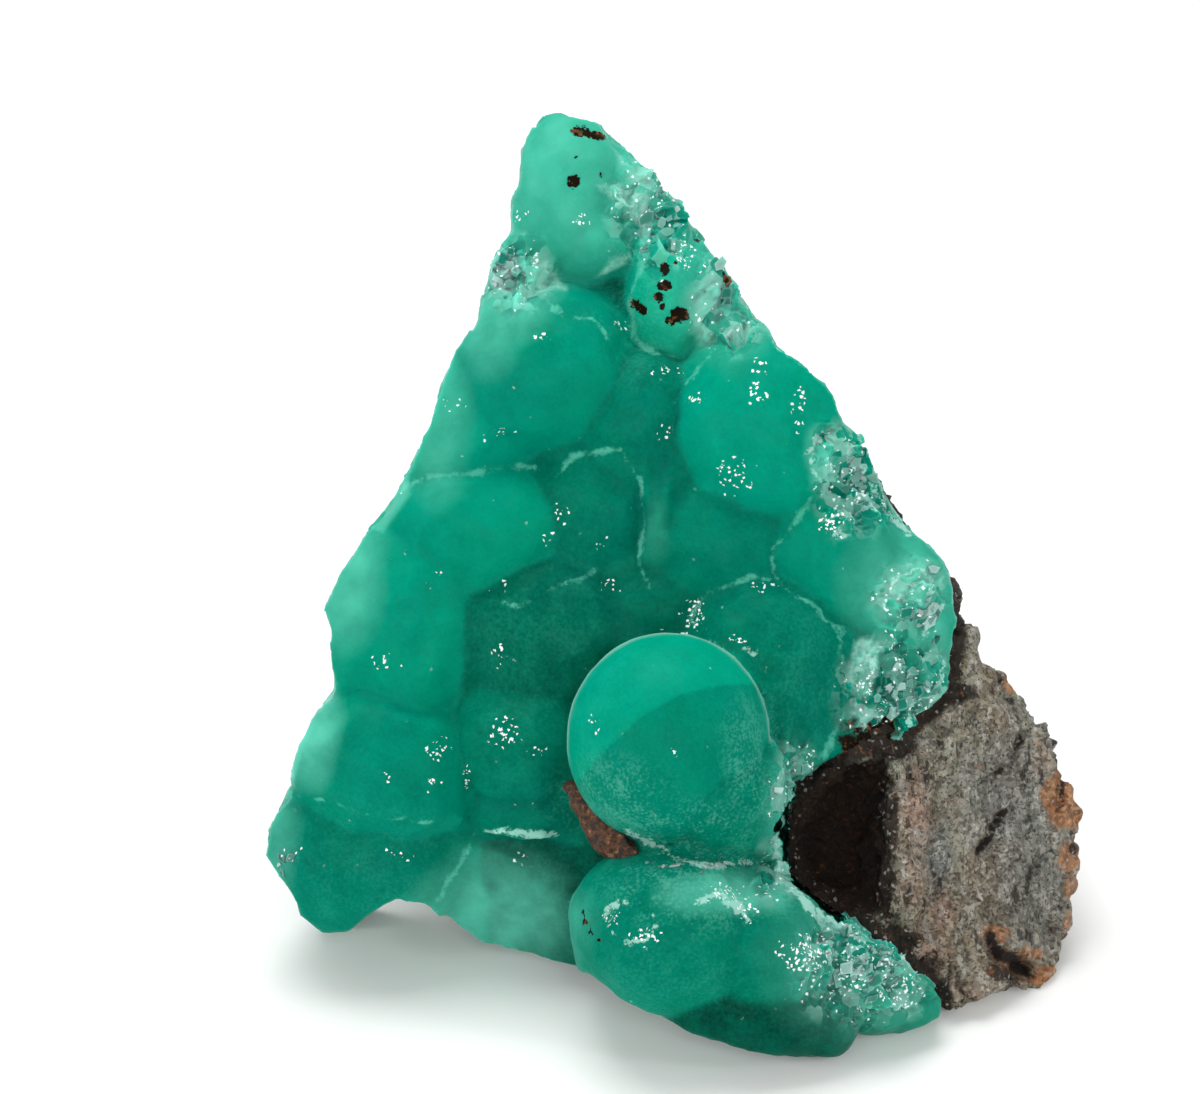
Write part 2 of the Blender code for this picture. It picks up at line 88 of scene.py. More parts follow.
camera = bpy.data.objects.new("camera", bpy.data.cameras.new("camera"))
bpy.context.scene.collection.objects.link(camera)
camera.data.sensor_width = SENSOR
camera.data.lens = SENSOR * CAMERA_DISTANCE / FRAME_WIDTH
camera.location = (on_face(*FRAME_CENTRE) + OUT * CAMERA_DISTANCE) * MM
camera.rotation_mode = "QUATERNION"
camera.rotation_quaternion = (-OUT).to_track_quat("-Z", "Y")
camera.data.clip_start = 0.05
camera.data.clip_end = 20.0
bpy.context.scene.camera = camera
print("Lens, mm:", round(camera.data.lens))

# %% [markdown]
# The crust is a crowd of broad bubbles that grew into each other. Each row is one bubble: its name,
# its place, how far its crown stands out, half of its width, height and depth, how far it is turned
# in degrees, and how light its colour is beside the others. That lightness is partly the bubble's own
# tone and partly painted shade: the low bubbles underneath, such as front_under, front_toe and
# under_centre, and the valley are painted darker where shade falls on them.

# %% The bubbles of the crust
LOBES = (
    ("apex", -7.2, 53.7, 1.7, 4.1, 6.2, 5.0, 0, 1.08),
    ("apex_low", -5.0, 50.6, 1.5, 3.5, 3.1, 3.6, 20, 0.92),
    ("apex_right", -2.3, 53.6, 0.6, 3.1, 4.1, 4.0, 35, 1.0),
    ("shoulder", -10.3, 49.2, 1.0, 3.3, 3.5, 4.0, 30, 0.9),
    ("valley", -4.6, 45.5, 0.6, 4.4, 4.4, 4.0, 0, 0.40),
    ("knob", -0.5, 47.3, 3.0, 2.9, 4.4, 4.4, 0, 1.2),
    ("knob_right", 2.7, 46.9, 2.2, 4.1, 5.2, 4.6, 40, 1.0),
    ("big_left", -9.0, 41.9, 4.6, 6.9, 6.1, 5.2, 20, 0.84),
    ("big_left_low", -14.2, 38.7, 3.4, 6.4, 6.1, 5.0, 20, 0.98),
    ("left_pillow", -13.1, 31.3, 4.6, 6.4, 4.8, 4.8, -4, 0.92),
    ("left_edge", -18.2, 24.9, 4.6, 6.4, 8.0, 6.0, 0, 0.92),
    ("centre", -5.5, 32.5, 3.9, 4.9, 5.9, 5.0, 0, 0.56),
    ("centre_top", -2.3, 38.4, 4.7, 4.1, 5.6, 5.0, -10, 0.6),
    ("dimple", -0.2, 34.9, 3.6, 2.3, 2.8, 2.6, 0, 0.55),
    ("big_right", 5.8, 38.4, 6.2, 6.9, 6.7, 5.8, -30, 0.97),
    ("right_pillow", 2.9, 30.3, 4.7, 5.3, 5.1, 4.8, 0, 0.66),
    ("right_cell", 10.1, 29.9, 4.8, 5.1, 5.3, 5.4, 0, 0.86),
    ("right_edge", 15.0, 26.7, 3.2, 4.7, 5.6, 5.0, 20, 0.9),
    ("right_strip", 11.4, 34.3, 2.6, 3.9, 5.0, 4.4, 30, 0.7),
    ("centre_low", -8.7, 24.1, 5.0, 7.3, 6.5, 5.6, 0, 0.46),
    ("centre_foot", -10.2, 17.2, 5.4, 4.8, 4.9, 5.0, 0, 0.6),
    ("saddle_low", -1.5, 25.9, 3.8, 4.1, 3.7, 3.6, 0, 0.5),
    ("low_left", -19.4, 15.7, 6.0, 7.1, 5.2, 5.6, -14, 0.76),
    ("low_left_rim", -23.8, 17.2, 3.4, 3.7, 5.2, 4.6, 20, 0.85),
    ("left_under", -20.6, 9.9, 3.2, 7.9, 6.0, 5.0, 6, 0.66),
    ("behind_ball", 5.8, 21.9, 6.4, 6.3, 7.1, 6.0, 0, 0.6),
    ("right_broken", 13.9, 21.1, 3.4, 5.2, 5.3, 5.0, 0, 0.56),
    ("ball", -0.5, 17.5, 14.0, 6.7, 7.1, 7.0, 0, 0.74),
    ("ball_skirt", 2.7, 14.0, 12.4, 4.9, 5.1, 7.0, 0, 0.64),
    ("front_low", -0.2, 4.7, 14.4, 6.9, 5.9, 7.4, -8, 0.66),
    ("front_low_right", 5.4, 3.6, 13.2, 5.3, 5.6, 7.0, 0, 0.62),
    ("front_under", 4.5, 0.1, 12.2, 6.9, 3.6, 5.0, -8, 0.24),
    ("front_toe", 9.4, -0.7, 10.2, 2.9, 2.8, 3.4, 0, 0.26),
    ("front_broken", 12.2, 2.9, 9.4, 5.6, 4.8, 5.8, -30, 0.6),
    ("front_corner", 15.4, 0.7, 6.8, 2.9, 2.8, 3.6, -30, 0.6),
    ("under_centre", -8.5, 9.6, 2.6, 5.1, 4.4, 5.0, -20, 0.34),
    ("under_strip", -9.5, 12.5, 4.1, 4.1, 2.0, 3.4, 0, 0.6),
)
LOBE_STEPS = 5
BACK_BREAK = ((-22.0, 24.0, -7.0), (-0.60, 0.31, -0.74))
LOBE_BREAKS = {
    "big_left": ((-11.3, 44.7, 3.6), (-0.50, 0.55, 0.67)),
    "low_left": ((-19.7, 12.5, 4.7), (-0.05, -0.82, 0.57)),
    "low_left_rim": ((-19.7, 12.5, 4.7), (-0.05, -0.82, 0.57)),
}


def new_object(name, bm):
    mesh = bpy.data.meshes.new(name)
    bmesh.ops.scale(bm, vec=(MM, MM, MM), verts=bm.verts)
    bmesh.ops.recalc_face_normals(bm, faces=bm.faces)
    bm.to_mesh(mesh)
    bm.free()
    made = bpy.data.objects.new(name, mesh)
    bpy.context.scene.collection.objects.link(made)
    return made


def pour(whole, piece):
    """Adds one bmesh to another."""
    mesh = bpy.data.meshes.new("piece")
    piece.to_mesh(mesh)
    piece.free()
    whole.from_mesh(mesh)
    bpy.data.meshes.remove(mesh)


def snap_off(bm, breaks):
    """Cuts a convex body along each flat break and closes the cut."""
    for place, facing in breaks:
        cut = bmesh.ops.bisect_plane(
            bm,
            geom=bm.verts[:] + bm.edges[:] + bm.faces[:],
            plane_co=on_face(*place),
            plane_no=FACE_TURN @ Vector(facing),
            clear_outer=True,
        )
        rim = [edge for edge in cut["geom_cut"] if isinstance(edge, bmesh.types.BMEdge)]
        if rim:
            bmesh.ops.edgeloop_fill(bm, edges=rim)


def add_lobe(whole, lobe):
    name, across, up, crown, wide, high, deep, turn, _light = lobe
    bm = bmesh.new()
    turned = Matrix.Rotation(math.radians(turn), 4, "Z")
    matrix = face_matrix(across, up, crown - deep) @ turned @ Matrix.Diagonal((wide, high, deep, 1.0))
    bmesh.ops.create_icosphere(bm, subdivisions=LOBE_STEPS, radius=1.0, matrix=matrix)
    own_break = [LOBE_BREAKS[name]] if name in LOBE_BREAKS else []
    snap_off(bm, [BACK_BREAK] + own_break)
    pour(whole, bm)


lumps = bmesh.new()
for lobe in LOBES:
    add_lobe(lumps, lobe)
print("Bubbles:", len(LOBES))

# %% [markdown]
# Behind the bubbles lies the solid bed of the crust, and at its broken ends it shows flat faces.
# Each of these is the convex body around a few corner points, which Blender's convex hull closes.

# %% The bed and the broken blocks
BED_FRONT = (
    (-9.6, 56.4, -1.5), (-10.6, 50.0, -0.8), (-14.6, 40.0, 0.2), (-18.4, 32.0, 0.6),
    (-21.6, 26.4, 0.6), (-21.8, 20.6, 0.8), (-24.2, 16.0, 1.0), (-24.8, 12.6, 0.0),
    (-21.0, 9.0, -2.0), (-13.0, 8.5, 1.0), (-6.0, 8.5, 2.0), (-1.0, 14.0, 5.0), (7.0, 14.0, 5.0),
    (15.0, 18.6, 1.6), (18.8, 22.6, 0.6), (18.2, 26.0, 0.4), (16.8, 29.4, 0.4), (12.8, 35.4, 0.2),
    (9.8, 39.4, 0.6), (5.2, 44.2, 0.2), (1.0, 50.0, -0.6), (-2.6, 54.0, -1.2), (-5.6, 57.2, -1.5),
)
BED_DEPTH = 7.0
BED = BED_FRONT + tuple((across, up, out - BED_DEPTH) for across, up, out in BED_FRONT)
LOW_BED = (
    (-5.0, 9.5, 6.0), (9.0, 12.0, 6.0), (13.5, 6.0, 5.0), (12.0, 0.5, 5.5), (3.0, 1.0, 8.0),
    (-4.5, 3.5, 7.0), (-6.0, 8.5, -3.0), (9.0, 12.0, -1.0), (13.0, 6.0, 1.0), (12.0, 1.5, 3.0),
    (-4.5, 4.5, 1.0), (-6.6, 2.6, 3.0), (-5.0, 1.4, 7.0),
)
LEFT_FOOT = (
    (-25.8, 13.8, 1.6), (-27.0, 9.8, -2.6), (-25.5, 6.9, -6.0), (-23.6, 3.9, -9.4),
    (-21.4, 3.9, -9.6), (-18.3, 6.9, -6.2), (-15.6, 7.4, -3.0), (-14.0, 12.4, 3.6),
    (-20.0, 13.4, 4.4), (-22.5, 14.0, -9.0), (-25.4, 10.8, -8.4), (-16.5, 10.0, -9.5),
    (-18.5, 5.8, -10.6), (-22.5, 4.4, -12.5),
)
PALE_FACET = (
    (-13.7, 10.1, 1.8), (-16.3, 6.3, -1.6), (-13.0, 3.7, -2.4), (-5.8, 2.0, -1.0), (-5.8, 6.4, 2.0),
    (-11.0, 9.6, 2.8), (-13.0, 9.0, -6.0), (-8.0, 4.5, -6.0), (-13.2, 5.0, -6.0), (-7.0, 9.0, -5.0),
)
PALE_LEDGE = (
    (-12.8, 11.9, 1.0), (-7.9, 11.6, 1.6), (-12.4, 11.2, 3.9), (-8.4, 11.2, 4.3),
    (-10.4, 11.8, 4.3), (-12.0, 10.8, 1.0), (-8.2, 10.8, 1.6),
)
CUT_STRIP = (
    (-2.2, 34.6, 3.6), (-0.4, 34.4, 4.0), (-2.0, 29.0, 3.4), (-0.3, 29.2, 3.8), (-1.0, 31.8, 4.4),
    (-2.4, 32.0, 1.0), (0.2, 32.0, 1.0), (-1.0, 28.6, 1.0), (-1.0, 35.0, 1.0),
)


def add_hull(whole, corners, breaks=()):
    bm = bmesh.new()
    bmesh.ops.convex_hull(bm, input=[bm.verts.new(corner) for corner in corners])
    inner = [vert for vert in bm.verts if not vert.link_faces]
    bmesh.ops.delete(bm, geom=inner, context="VERTS")
    snap_off(bm, breaks)
    pour(whole, bm)


for block in (BED, LOW_BED, LEFT_FOOT, PALE_FACET, PALE_LEDGE, CUT_STRIP):
    add_hull(lumps, [on_face(*corner) for corner in block], [BACK_BREAK])
print("Vertices before they grow together:", len(lumps.verts))

# %% [markdown]
# The crust was broken out of a larger one. Its outline is a ragged line: every side of the plain
# outline is divided into short steps that are moved a little to and fro, and what lies outside is
# cut away. A voxel remesh before the cut melts all bodies into one skin, and one after it gives the
# broken walls enough vertices to be rough.

# %% The broken outline
CRUST_EDGE = (
    (-8.6, 59.1), (-7.5, 59.1), (-4.9, 58.5), (-3.3, 56.9), (-1.5, 54.8), (-0.2, 53.2), (1.3, 51.6),
    (2.1, 50.4), (3.1, 48.9), (4.2, 47.7), (4.6, 46.4), (6.2, 44.7), (6.7, 43.5), (8.7, 42.1),
    (10.6, 40.1), (10.9, 38.9), (11.8, 37.3), (12.9, 36.3), (13.7, 34.3), (15.0, 32.0),
    (16.9, 30.4), (17.9, 29.2), (18.6, 27.3), (18.7, 24.9), (18.3, 22.7), (18.1, 20.7),
    (16.5, 19.2), (15.0, 18.0), (13.9, 16.8), (11.8, 15.7), (9.7, 14.0), (7.7, 11.9), (7.3, 8.8),
    (10.1, 6.5), (12.9, 4.3), (15.4, 2.5), (17.5, 0.4), (17.4, -0.8), (15.0, -2.0), (12.7, -2.4),
    (11.4, -3.3), (8.3, -3.2), (4.9, -2.8), (1.3, -1.7), (-1.0, -0.5), (-3.7, 0.7), (-5.7, 2.3),
    (-7.7, 2.3), (-10.3, 2.8), (-13.0, 3.7), (-15.3, 4.9), (-16.6, 6.4), (-18.5, 6.9),
    (-20.2, 5.9), (-21.8, 4.5), (-23.4, 4.4), (-25.0, 5.6), (-25.5, 7.1), (-27.4, 9.6),
    (-27.0, 11.5), (-26.1, 13.3), (-25.1, 16.5), (-24.1, 18.8), (-22.7, 20.7), (-23.0, 22.7),
    (-22.9, 24.8), (-23.3, 26.3), (-21.9, 28.9), (-20.6, 31.1), (-19.1, 32.9), (-17.7, 35.3),
    (-16.3, 38.3), (-15.4, 41.1), (-14.6, 43.2), (-13.1, 45.2), (-12.9, 46.7), (-12.3, 48.8),
    (-11.7, 50.3), (-10.9, 51.3), (-11.1, 52.9), (-10.5, 54.4), (-10.3, 56.7), (-9.7, 58.0),
)
ROCK_EDGE = (
    (-7.0, 54.0), (1.6, 49.4), (7.6, 43.4), (10.9, 39.2), (11.8, 38.2), (12.8, 37.4), (14.0, 35.4),
    (14.5, 33.4), (15.8, 31.4), (16.4, 30.4), (17.9, 29.6), (19.1, 28.0), (19.2, 26.6),
    (18.9, 25.6), (19.8, 24.0), (19.8, 23.0), (20.7, 22.2), (21.7, 21.9), (22.4, 21.2),
    (23.6, 21.2), (24.3, 19.7), (25.5, 18.5), (25.9, 16.8), (27.2, 14.8), (26.8, 13.4),
    (27.3, 12.4), (26.8, 11.0), (27.5, 8.8), (26.6, 6.7), (27.1, 5.0), (27.0, 3.3), (25.8, 1.8),
    (24.4, 0.8), (22.8, 1.0), (21.0, 0.5), (18.4, -0.7), (12.0, -4.0), (-12.0, -4.0),
    (-20.0, 6.0), (-18.0, 30.0),
)
EDGE_FRONT = 22.0
EDGE_BACK = -46.0
EDGE_STEP = 0.55
EDGE_WANDER = 0.06
CRUST_VOXEL = 0.30


def ragged(edge, draw):
    """The same closed line in short steps, each moved a little."""
    line = []
    for first, second in zip(edge, edge[1:] + edge[:1]):
        start, end = Vector(first), Vector(second)
        steps = max(1, round((end - start).length / EDGE_STEP))
        for step in range(steps):
            shift = Vector([draw.uniform(-EDGE_WANDER, EDGE_WANDER) for _axis in range(2)])
            line.append(start.lerp(end, step / steps) + shift)
    return line


def prism(name, edge):
    """The space inside a closed line on the face."""
    bm = bmesh.new()
    front = [bm.verts.new(on_face(*spot, EDGE_FRONT)) for spot in edge]
    back = [bm.verts.new(on_face(*spot, EDGE_BACK)) for spot in edge]
    bm.faces.new(front)
    bm.faces.new(back)
    for step in range(len(edge)):
        bm.faces.new((front[step - 1], front[step], back[step], back[step - 1]))
    bmesh.ops.triangulate(bm, faces=[face for face in bm.faces if len(face.verts) > 4])
    return new_object(name, bm)


def add_modifier(piece, kind, **settings):
    modifier = piece.modifiers.new(kind.lower(), kind)
    for name, value in settings.items():
        setattr(modifier, name, value)
    return modifier


def apply_modifiers(piece):
    graph = bpy.context.evaluated_depsgraph_get()
    mesh = bpy.data.meshes.new_from_object(piece.evaluated_get(graph))
    piece.modifiers.clear()
    piece.data = mesh


def melt(piece, voxel):
    add_modifier(piece, "REMESH", mode="VOXEL", voxel_size=voxel * MM)
    apply_modifiers(piece)


def cut(piece, cutter, operation="DIFFERENCE"):
    add_modifier(piece, "BOOLEAN", operation=operation, solver="MANIFOLD", object=cutter)
    apply_modifiers(piece)


crust = new_object("bubbly_crust", lumps)
melt(crust, CRUST_VOXEL)
crust_outline = prism("crust_outline", ragged(CRUST_EDGE, random.Random(5)))
cut(crust, crust_outline, "INTERSECT")
melt(crust, CRUST_VOXEL)
print("Crust vertices:", len(crust.data.vertices))

# %% [markdown]
# The rock is one convex block with a few ledges, remeshed to give it vertices that can be moved.

# %% The rock
ROCK_FRONT = (
    (11.0, 38.2, -5.0), (13.6, 35.2, -4.6), (15.8, 31.4, -4.0), (18.2, 28.4, -3.6),
    (19.0, 25.2, -3.0), (21.2, 21.8, -1.6), (23.2, 20.2, -2.8), (26.2, 15.2, -4.6),
    (27.0, 8.8, -5.2), (26.4, 3.6, -4.2), (24.6, 0.2, -2.2), (21.0, 0.0, 0.0), (18.4, -0.4, 1.8),
    (13.4, 4.0, 4.0), (13.4, 13.6, 3.4), (15.4, 19.0, 1.2), (-6.0, 53.4, -6.6),
    (-11.0, 45.0, -9.0), (-13.4, 35.0, -9.0), (-16.0, 20.0, -9.5),
)
ROCK_BACK = (
    (-7.0, 31.5, 44.1), (2.0, 32.5, 31.6), (10.0, 32.5, 20.6), (16.0, 31.5, 11.6), (22.5, 28.0, 3.6),
    (20.5, 26.5, -1.2), (5.0, 33.5, -1.2), (-9.0, 31.0, -1.2), (-15.5, 26.5, 7.6),
    (-14.0, 30.0, 20.6), (-11.0, 31.0, 32.6), (-9.0, 19.5, -1.0), (17.0, 15.5, -1.2),
)
ROCK_LEDGES = (
    ((13.9, 16.2, 3.0), (15.6, 16.8, 3.2), (14.3, 11.0, 4.8), (16.4, 10.6, 4.2), (14.0, 6.4, 4.9),
     (16.6, 3.6, 3.9), (15.0, 3.2, 3.6), (17.6, 9.0, 2.0), (14.2, 10.0, 1.0)),
    ((26.2, 15.4, -5.0), (27.4, 8.8, -5.4), (24.6, 14.0, -3.2), (25.0, 9.0, -3.4),
     (27.2, 12.6, -4.6), (22.0, 12.0, -6.0), (25.8, 11.4, -9.0)),
    ((21.0, 4.2, 1.4), (25.4, 4.8, -2.0), (24.2, 0.4, -1.6), (20.6, -0.4, 1.4), (18.2, 0.4, 2.8),
     (22.0, 2.4, -5.0), (19.0, 5.2, 1.4)),
)
VUG_MOUTH = (
    (6.6, 11.4, 9.0), (8.0, 14.2, 9.0), (12.0, 16.4, 9.0), (14.2, 17.6, 7.0), (14.0, 11.6, 9.0),
    (13.2, 6.0, 9.0), (11.0, 5.8, 9.0), (7.6, 7.8, 9.0),
)
VUG_FLOOR = (
    (7.2, 11.2, 2.6), (8.2, 13.4, 2.4), (11.6, 15.6, 1.6), (13.8, 16.4, 1.6), (14.0, 11.2, 1.8),
    (13.4, 6.0, 1.8), (10.8, 5.6, 2.2), (7.8, 7.6, 2.4), (9.2, 11.4, -2.4), (11.6, 13.4, -3.0),
    (12.4, 10.8, -3.4), (11.6, 7.8, -2.8), (9.6, 8.6, -2.2),
)
ROCK_VOXEL = 0.29


def rough_texture(name, size):
    texture = bpy.data.textures.new(name, "CLOUDS")
    texture.noise_scale = size * MM
    texture.noise_basis = "VORONOI_F1"
    return texture


def roughen(piece, voxel, *layers):
    add_modifier(piece, "REMESH", mode="VOXEL", voxel_size=voxel * MM)
    for name, size, strength in layers:
        texture = rough_texture(name, size)
        add_modifier(piece, "DISPLACE", texture=texture, strength=strength * MM, mid_level=0.5)
    apply_modifiers(piece)


bm = bmesh.new()
add_hull(bm, [on_face(*c) for c in ROCK_FRONT] + [ORIGIN_ON_FACE + Vector(c) for c in ROCK_BACK])
for ledge in ROCK_LEDGES:
    add_hull(bm, [on_face(*corner) for corner in ledge])
rock = new_object("grey_matrix", bm)
roughen(rock, ROCK_VOXEL, ("rock_lumps", 7.0, 2.4), ("rock_grains", 2.6, 0.9))
rock_outline = prism("rock_outline", ragged(ROCK_EDGE, random.Random(8)))
cut(rock, rock_outline, "INTERSECT")
melt(rock, ROCK_VOXEL)
print("Rock vertices:", len(rock.data.vertices))

# %% [markdown]
# Numbers for every vertex at once are kept in NumPy arrays. Each place is known on the face, and
# each vertex also knows which way it looks.

# %% Places and directions of vertices


def vertex_rows(piece, what):
    flat = np.empty(3 * len(piece.data.vertices))
    piece.data.vertices.foreach_get(what, flat)
    return flat.reshape(-1, 3)


def coordinates(piece):
    return face_places(vertex_rows(piece, "co"))


def outlook(piece):
    return vertex_rows(piece, "normal") @ np.array(FACE_TURN)


def push(piece, distances):
    """Moves every vertex along its normal by its own distance in millimetres."""
    moved = vertex_rows(piece, "co") + vertex_rows(piece, "normal") * distances[:, None] * MM
    piece.data.vertices.foreach_set("co", moved.ravel())
    piece.data.update()


def step_up(values, low, high):
    """Nought below low, one above high, and a smooth rise between."""
    part = np.clip((values - low) / (high - low), 0.0, 1.0)
    return part * part * (3.0 - 2.0 * part)


def ripples(places, size):
    return np.array([noise.noise(Vector(place)) for place in places / size])


def far_from_line(places, line):
    """The distance on the face from each place to a chain of straight pieces."""
    nearest = np.full(len(places), np.inf)
    flat = places[:, :2]
    for first, second in zip(line[:-1], line[1:]):
        start, along = np.array(first), np.array(second) - np.array(first)
        share = np.clip((flat - start) @ along / (along @ along), 0.0, 1.0)
        gap = flat - start - share[:, None] * along
        nearest = np.minimum(nearest, np.hypot(gap[:, 0], gap[:, 1]))
    return nearest


def soft_spots(places, spots):
    """The strongest of several soft ellipses: across, up, half width, half height, strength."""
    result = np.zeros(len(places))
    for across, up, wide, high, strength in spots:
        far = np.hypot((places[:, 0] - across) / wide, (places[:, 1] - up) / high)
        result = np.maximum(result, strength * np.clip(1.6 - far, 0.0, 1.0))
    return result


def planes(places, spacing, tilt, seed):
    """A patchwork of flat planes, each tilted its own way: one height for every place."""
    low, high = places.min(axis=0), places.max(axis=0)
    count = int(np.prod((high - low) / spacing))
    middles = np.random.default_rng(seed).uniform(low, high, (count, 3))
    tilts = np.random.default_rng(seed + 20).normal(0.0, tilt, (count, 3))
    tree = kdtree.KDTree(count)
    for number, middle in enumerate(middles):
        tree.insert(middle, number)
    tree.balance()
    nearest = [tree.find(place)[1] for place in places]
    return ((places - middles[nearest]) * tilts[nearest]).sum(axis=1)


print("Helpers for", len(crust.data.vertices) + len(rock.data.vertices), "vertices")

# %% [markdown]
# Every vertex finds the bubble whose skin it lies on, and takes its lightness, painted shade included.
# Other masks say how broken the crust is there, how pale, and how frosted with white crystal dust.
# The pale mask holds both pale frost and painted glow, light shining through the thin edges of the
# crust. The ball gets a painted lit cap on top and a painted pale rim at its upper outline, and the
# glint spots say where the painted highlights gather.

# %% Masks on the crust
BROKEN_SPOTS = (
    (-1.6, 52.2, 2.6, 3.4, 1.0), (-10.6, 48.4, 2.2, 2.4, 1.0), (3.6, 47.0, 2.4, 3.6, 1.0),
    (11.8, 34.6, 2.6, 3.6, 1.0), (15.6, 26.8, 2.4, 2.6, 0.8), (14.8, 20.6, 3.6, 3.6, 1.0),
    (8.0, 13.6, 1.8, 3.4, 1.0), (12.6, 3.0, 4.6, 3.8, 1.0), (6.6, 9.0, 1.4, 2.0, 0.8),
)
# Pale patches: on broken places they are real pale frost; along the thin left edges they are painted glow, light
# shining through the thin crust.
PALE_AND_GLOW_SPOTS = (
    (-7.3, 55.0, 4.2, 5.0, 0.45), (-1.7, 54.7, 2.2, 3.2, 0.5), (-10.7, 48.0, 2.2, 3.0, 0.6),
    (-12.4, 45.0, 1.8, 2.6, 0.45), (-15.8, 38.9, 1.8, 4.6, 0.35), (-22.0, 28.7, 2.0, 4.0, 0.5),
    (-24.1, 18.2, 1.4, 2.9, 0.7), (-26.8, 10.7, 1.4, 2.7, 0.35), (3.4, 47.7, 2.7, 4.0, 0.4),
    (9.6, 35.6, 0.8, 1.8, 0.6), (15.2, 27.3, 3.1, 3.2, 0.45), (-1.3, 31.2, 0.7, 1.9, 0.12),
    (17.2, 23.0, 1.0, 3.8, 0.5), (8.0, 13.0, 1.6, 3.2, 0.5), (-11.7, 5.7, 4.3, 3.1, 0.5),
    (12.6, 3.0, 5.0, 4.0, 0.3), (3.4, 7.6, 3.4, 1.0, 0.55), (0.2, 46.0, 1.6, 2.4, 0.1), (6.8, 9.4, 1.0, 2.2, 0.6),
)
LINE_REACH = 0.9
SEAM_LINES = (
    (((-11.0, 46.7), (-9.0, 46.9), (-7.3, 45.5), (-5.7, 45.2), (-4.2, 43.7)), 0.95),
    (((-18.7, 33.9), (-16.3, 34.9), (-13.0, 35.3), (-9.7, 35.3), (-8.0, 34.7)), 0.95),
    (((-8.0, 34.7), (-6.7, 36.2), (-4.0, 37.0), (-3.5, 35.9), (-2.6, 34.7)), 0.88),
    (((-2.4, 34.7), (-2.3, 32.0), (-2.3, 29.3), (-1.8, 27.3)), 0.95),
    (((2.2, 43.0), (0.6, 41.4), (-0.4, 39.0), (-0.2, 36.2)), 0.9),
    (((8.7, 33.5), (7.7, 32.0), (6.5, 30.3), (6.3, 28.3), (7.7, 26.7), (10.7, 25.0)), 0.95),
    (((0.7, 25.2), (1.5, 26.7), (3.0, 27.5), (5.0, 28.0), (7.0, 27.9)), 0.9),
    (((10.7, 25.0), (11.1, 21.3), (11.1, 18.7), (10.0, 16.0)), 0.95),
    (((-25.7, 13.7), (-22.3, 13.2), (-19.7, 12.5), (-16.4, 12.3)), 0.9),
    (((-2.0, 50.7), (-2.3, 48.3), (-3.0, 46.3), (-2.5, 44.3), (-1.3, 43.3), (0.2, 43.3)), 1.0),
    (((-15.7, 6.7), (-13.7, 10.0), (-13.3, 11.3)), 1.0),
    (((-12.9, 27.0), (-10.0, 26.2), (-8.2, 27.4), (-5.0, 28.8)), 0.82),
)
FROST_LINES = (
    (((-12.5, 11.2), (-10.3, 11.6), (-8.2, 11.3)), 1.0),
    (((-3.3, 11.6), (-1.7, 10.8), (-0.5, 9.9), (1.7, 9.2), (4.7, 9.3)), 0.95),
    (((9.7, 32.0), (10.9, 32.3), (11.7, 31.7)), 0.9),
    (((10.5, 31.1), (11.5, 30.7)), 0.9),
    (((9.8, 37.3), (9.0, 36.6), (8.8, 35.6), (9.3, 34.8), (10.3, 34.2)), 1.0),
    (((11.3, 37.0), (12.4, 35.0), (13.5, 33.3), (15.7, 30.9)), 0.95),
    (((10.0, 36.0), (11.4, 34.4), (13.2, 32.2)), 0.9),
    (((17.9, 26.4), (17.0, 25.2), (16.6, 24.2)), 0.9),
    (((16.4, 20.9), (15.9, 20.0), (15.4, 19.0)), 0.95),
    (((17.6, 22.6), (17.3, 21.2)), 0.95),
    (((12.8, 23.0), (13.0, 22.0), (12.8, 21.4)), 0.95),
    (((6.9, 12.6), (6.5, 11.0), (6.7, 8.8), (8.8, 6.6), (11.6, 4.8), (14.2, 2.9)), 1.1),
    (((1.4, 7.2), (2.6, 7.5), (3.4, 6.9), (4.2, 6.9), (4.9, 6.0)), 1.05),
    (((9.4, 3.6), (10.2, 2.8), (10.2, 1.8)), 1.0),
    (((0.9, 25.3), (1.4, 26.4)), 0.75),
)
FROST_RINGS = ((-3.0, 6.0, 1.7, 1.2, 0.75), (15.7, 27.7, 1.4, 1.0, 0.8))
FROST_SPOTS = (
    (5.0, 23.4, 0.8, 0.4, 0.8), (6.0, 22.4, 0.4, 0.6, 0.8), (4.2, 6.6, 0.6, 0.4, 1.0),
    (1.8, 7.4, 0.4, 0.2, 0.9), (10.0, 3.2, 1.2, 1.0, 0.7), (15.7, 27.7, 0.8, 0.5, 0.8),
    (-26.2, 8.8, 0.4, 0.8, 0.6), (-24.6, 5.4, 0.8, 0.5, 0.5),
)
DUST_SPOTS = (
    (-4.4, 13.8, 3.2, 2.2, 1.0), (5.0, 16.2, 1.8, 3.4, 0.9), (0.4, 11.8, 4.6, 1.6, 1.0),
    (1.8, 8.0, 5.0, 2.2, 1.1), (8.4, 21.4, 2.6, 4.0, 0.2),
    (-9.0, 22.0, 5.0, 6.0, 0.1), (-20.0, 9.0, 5.0, 4.0, 0.15), (-9.6, 6.8, 3.4, 3.4, 0.2),
    (0.0, 2.4, 5.0, 2.0, 0.2), (-1.5, 46.5, 3.0, 4.0, 0.3),
)
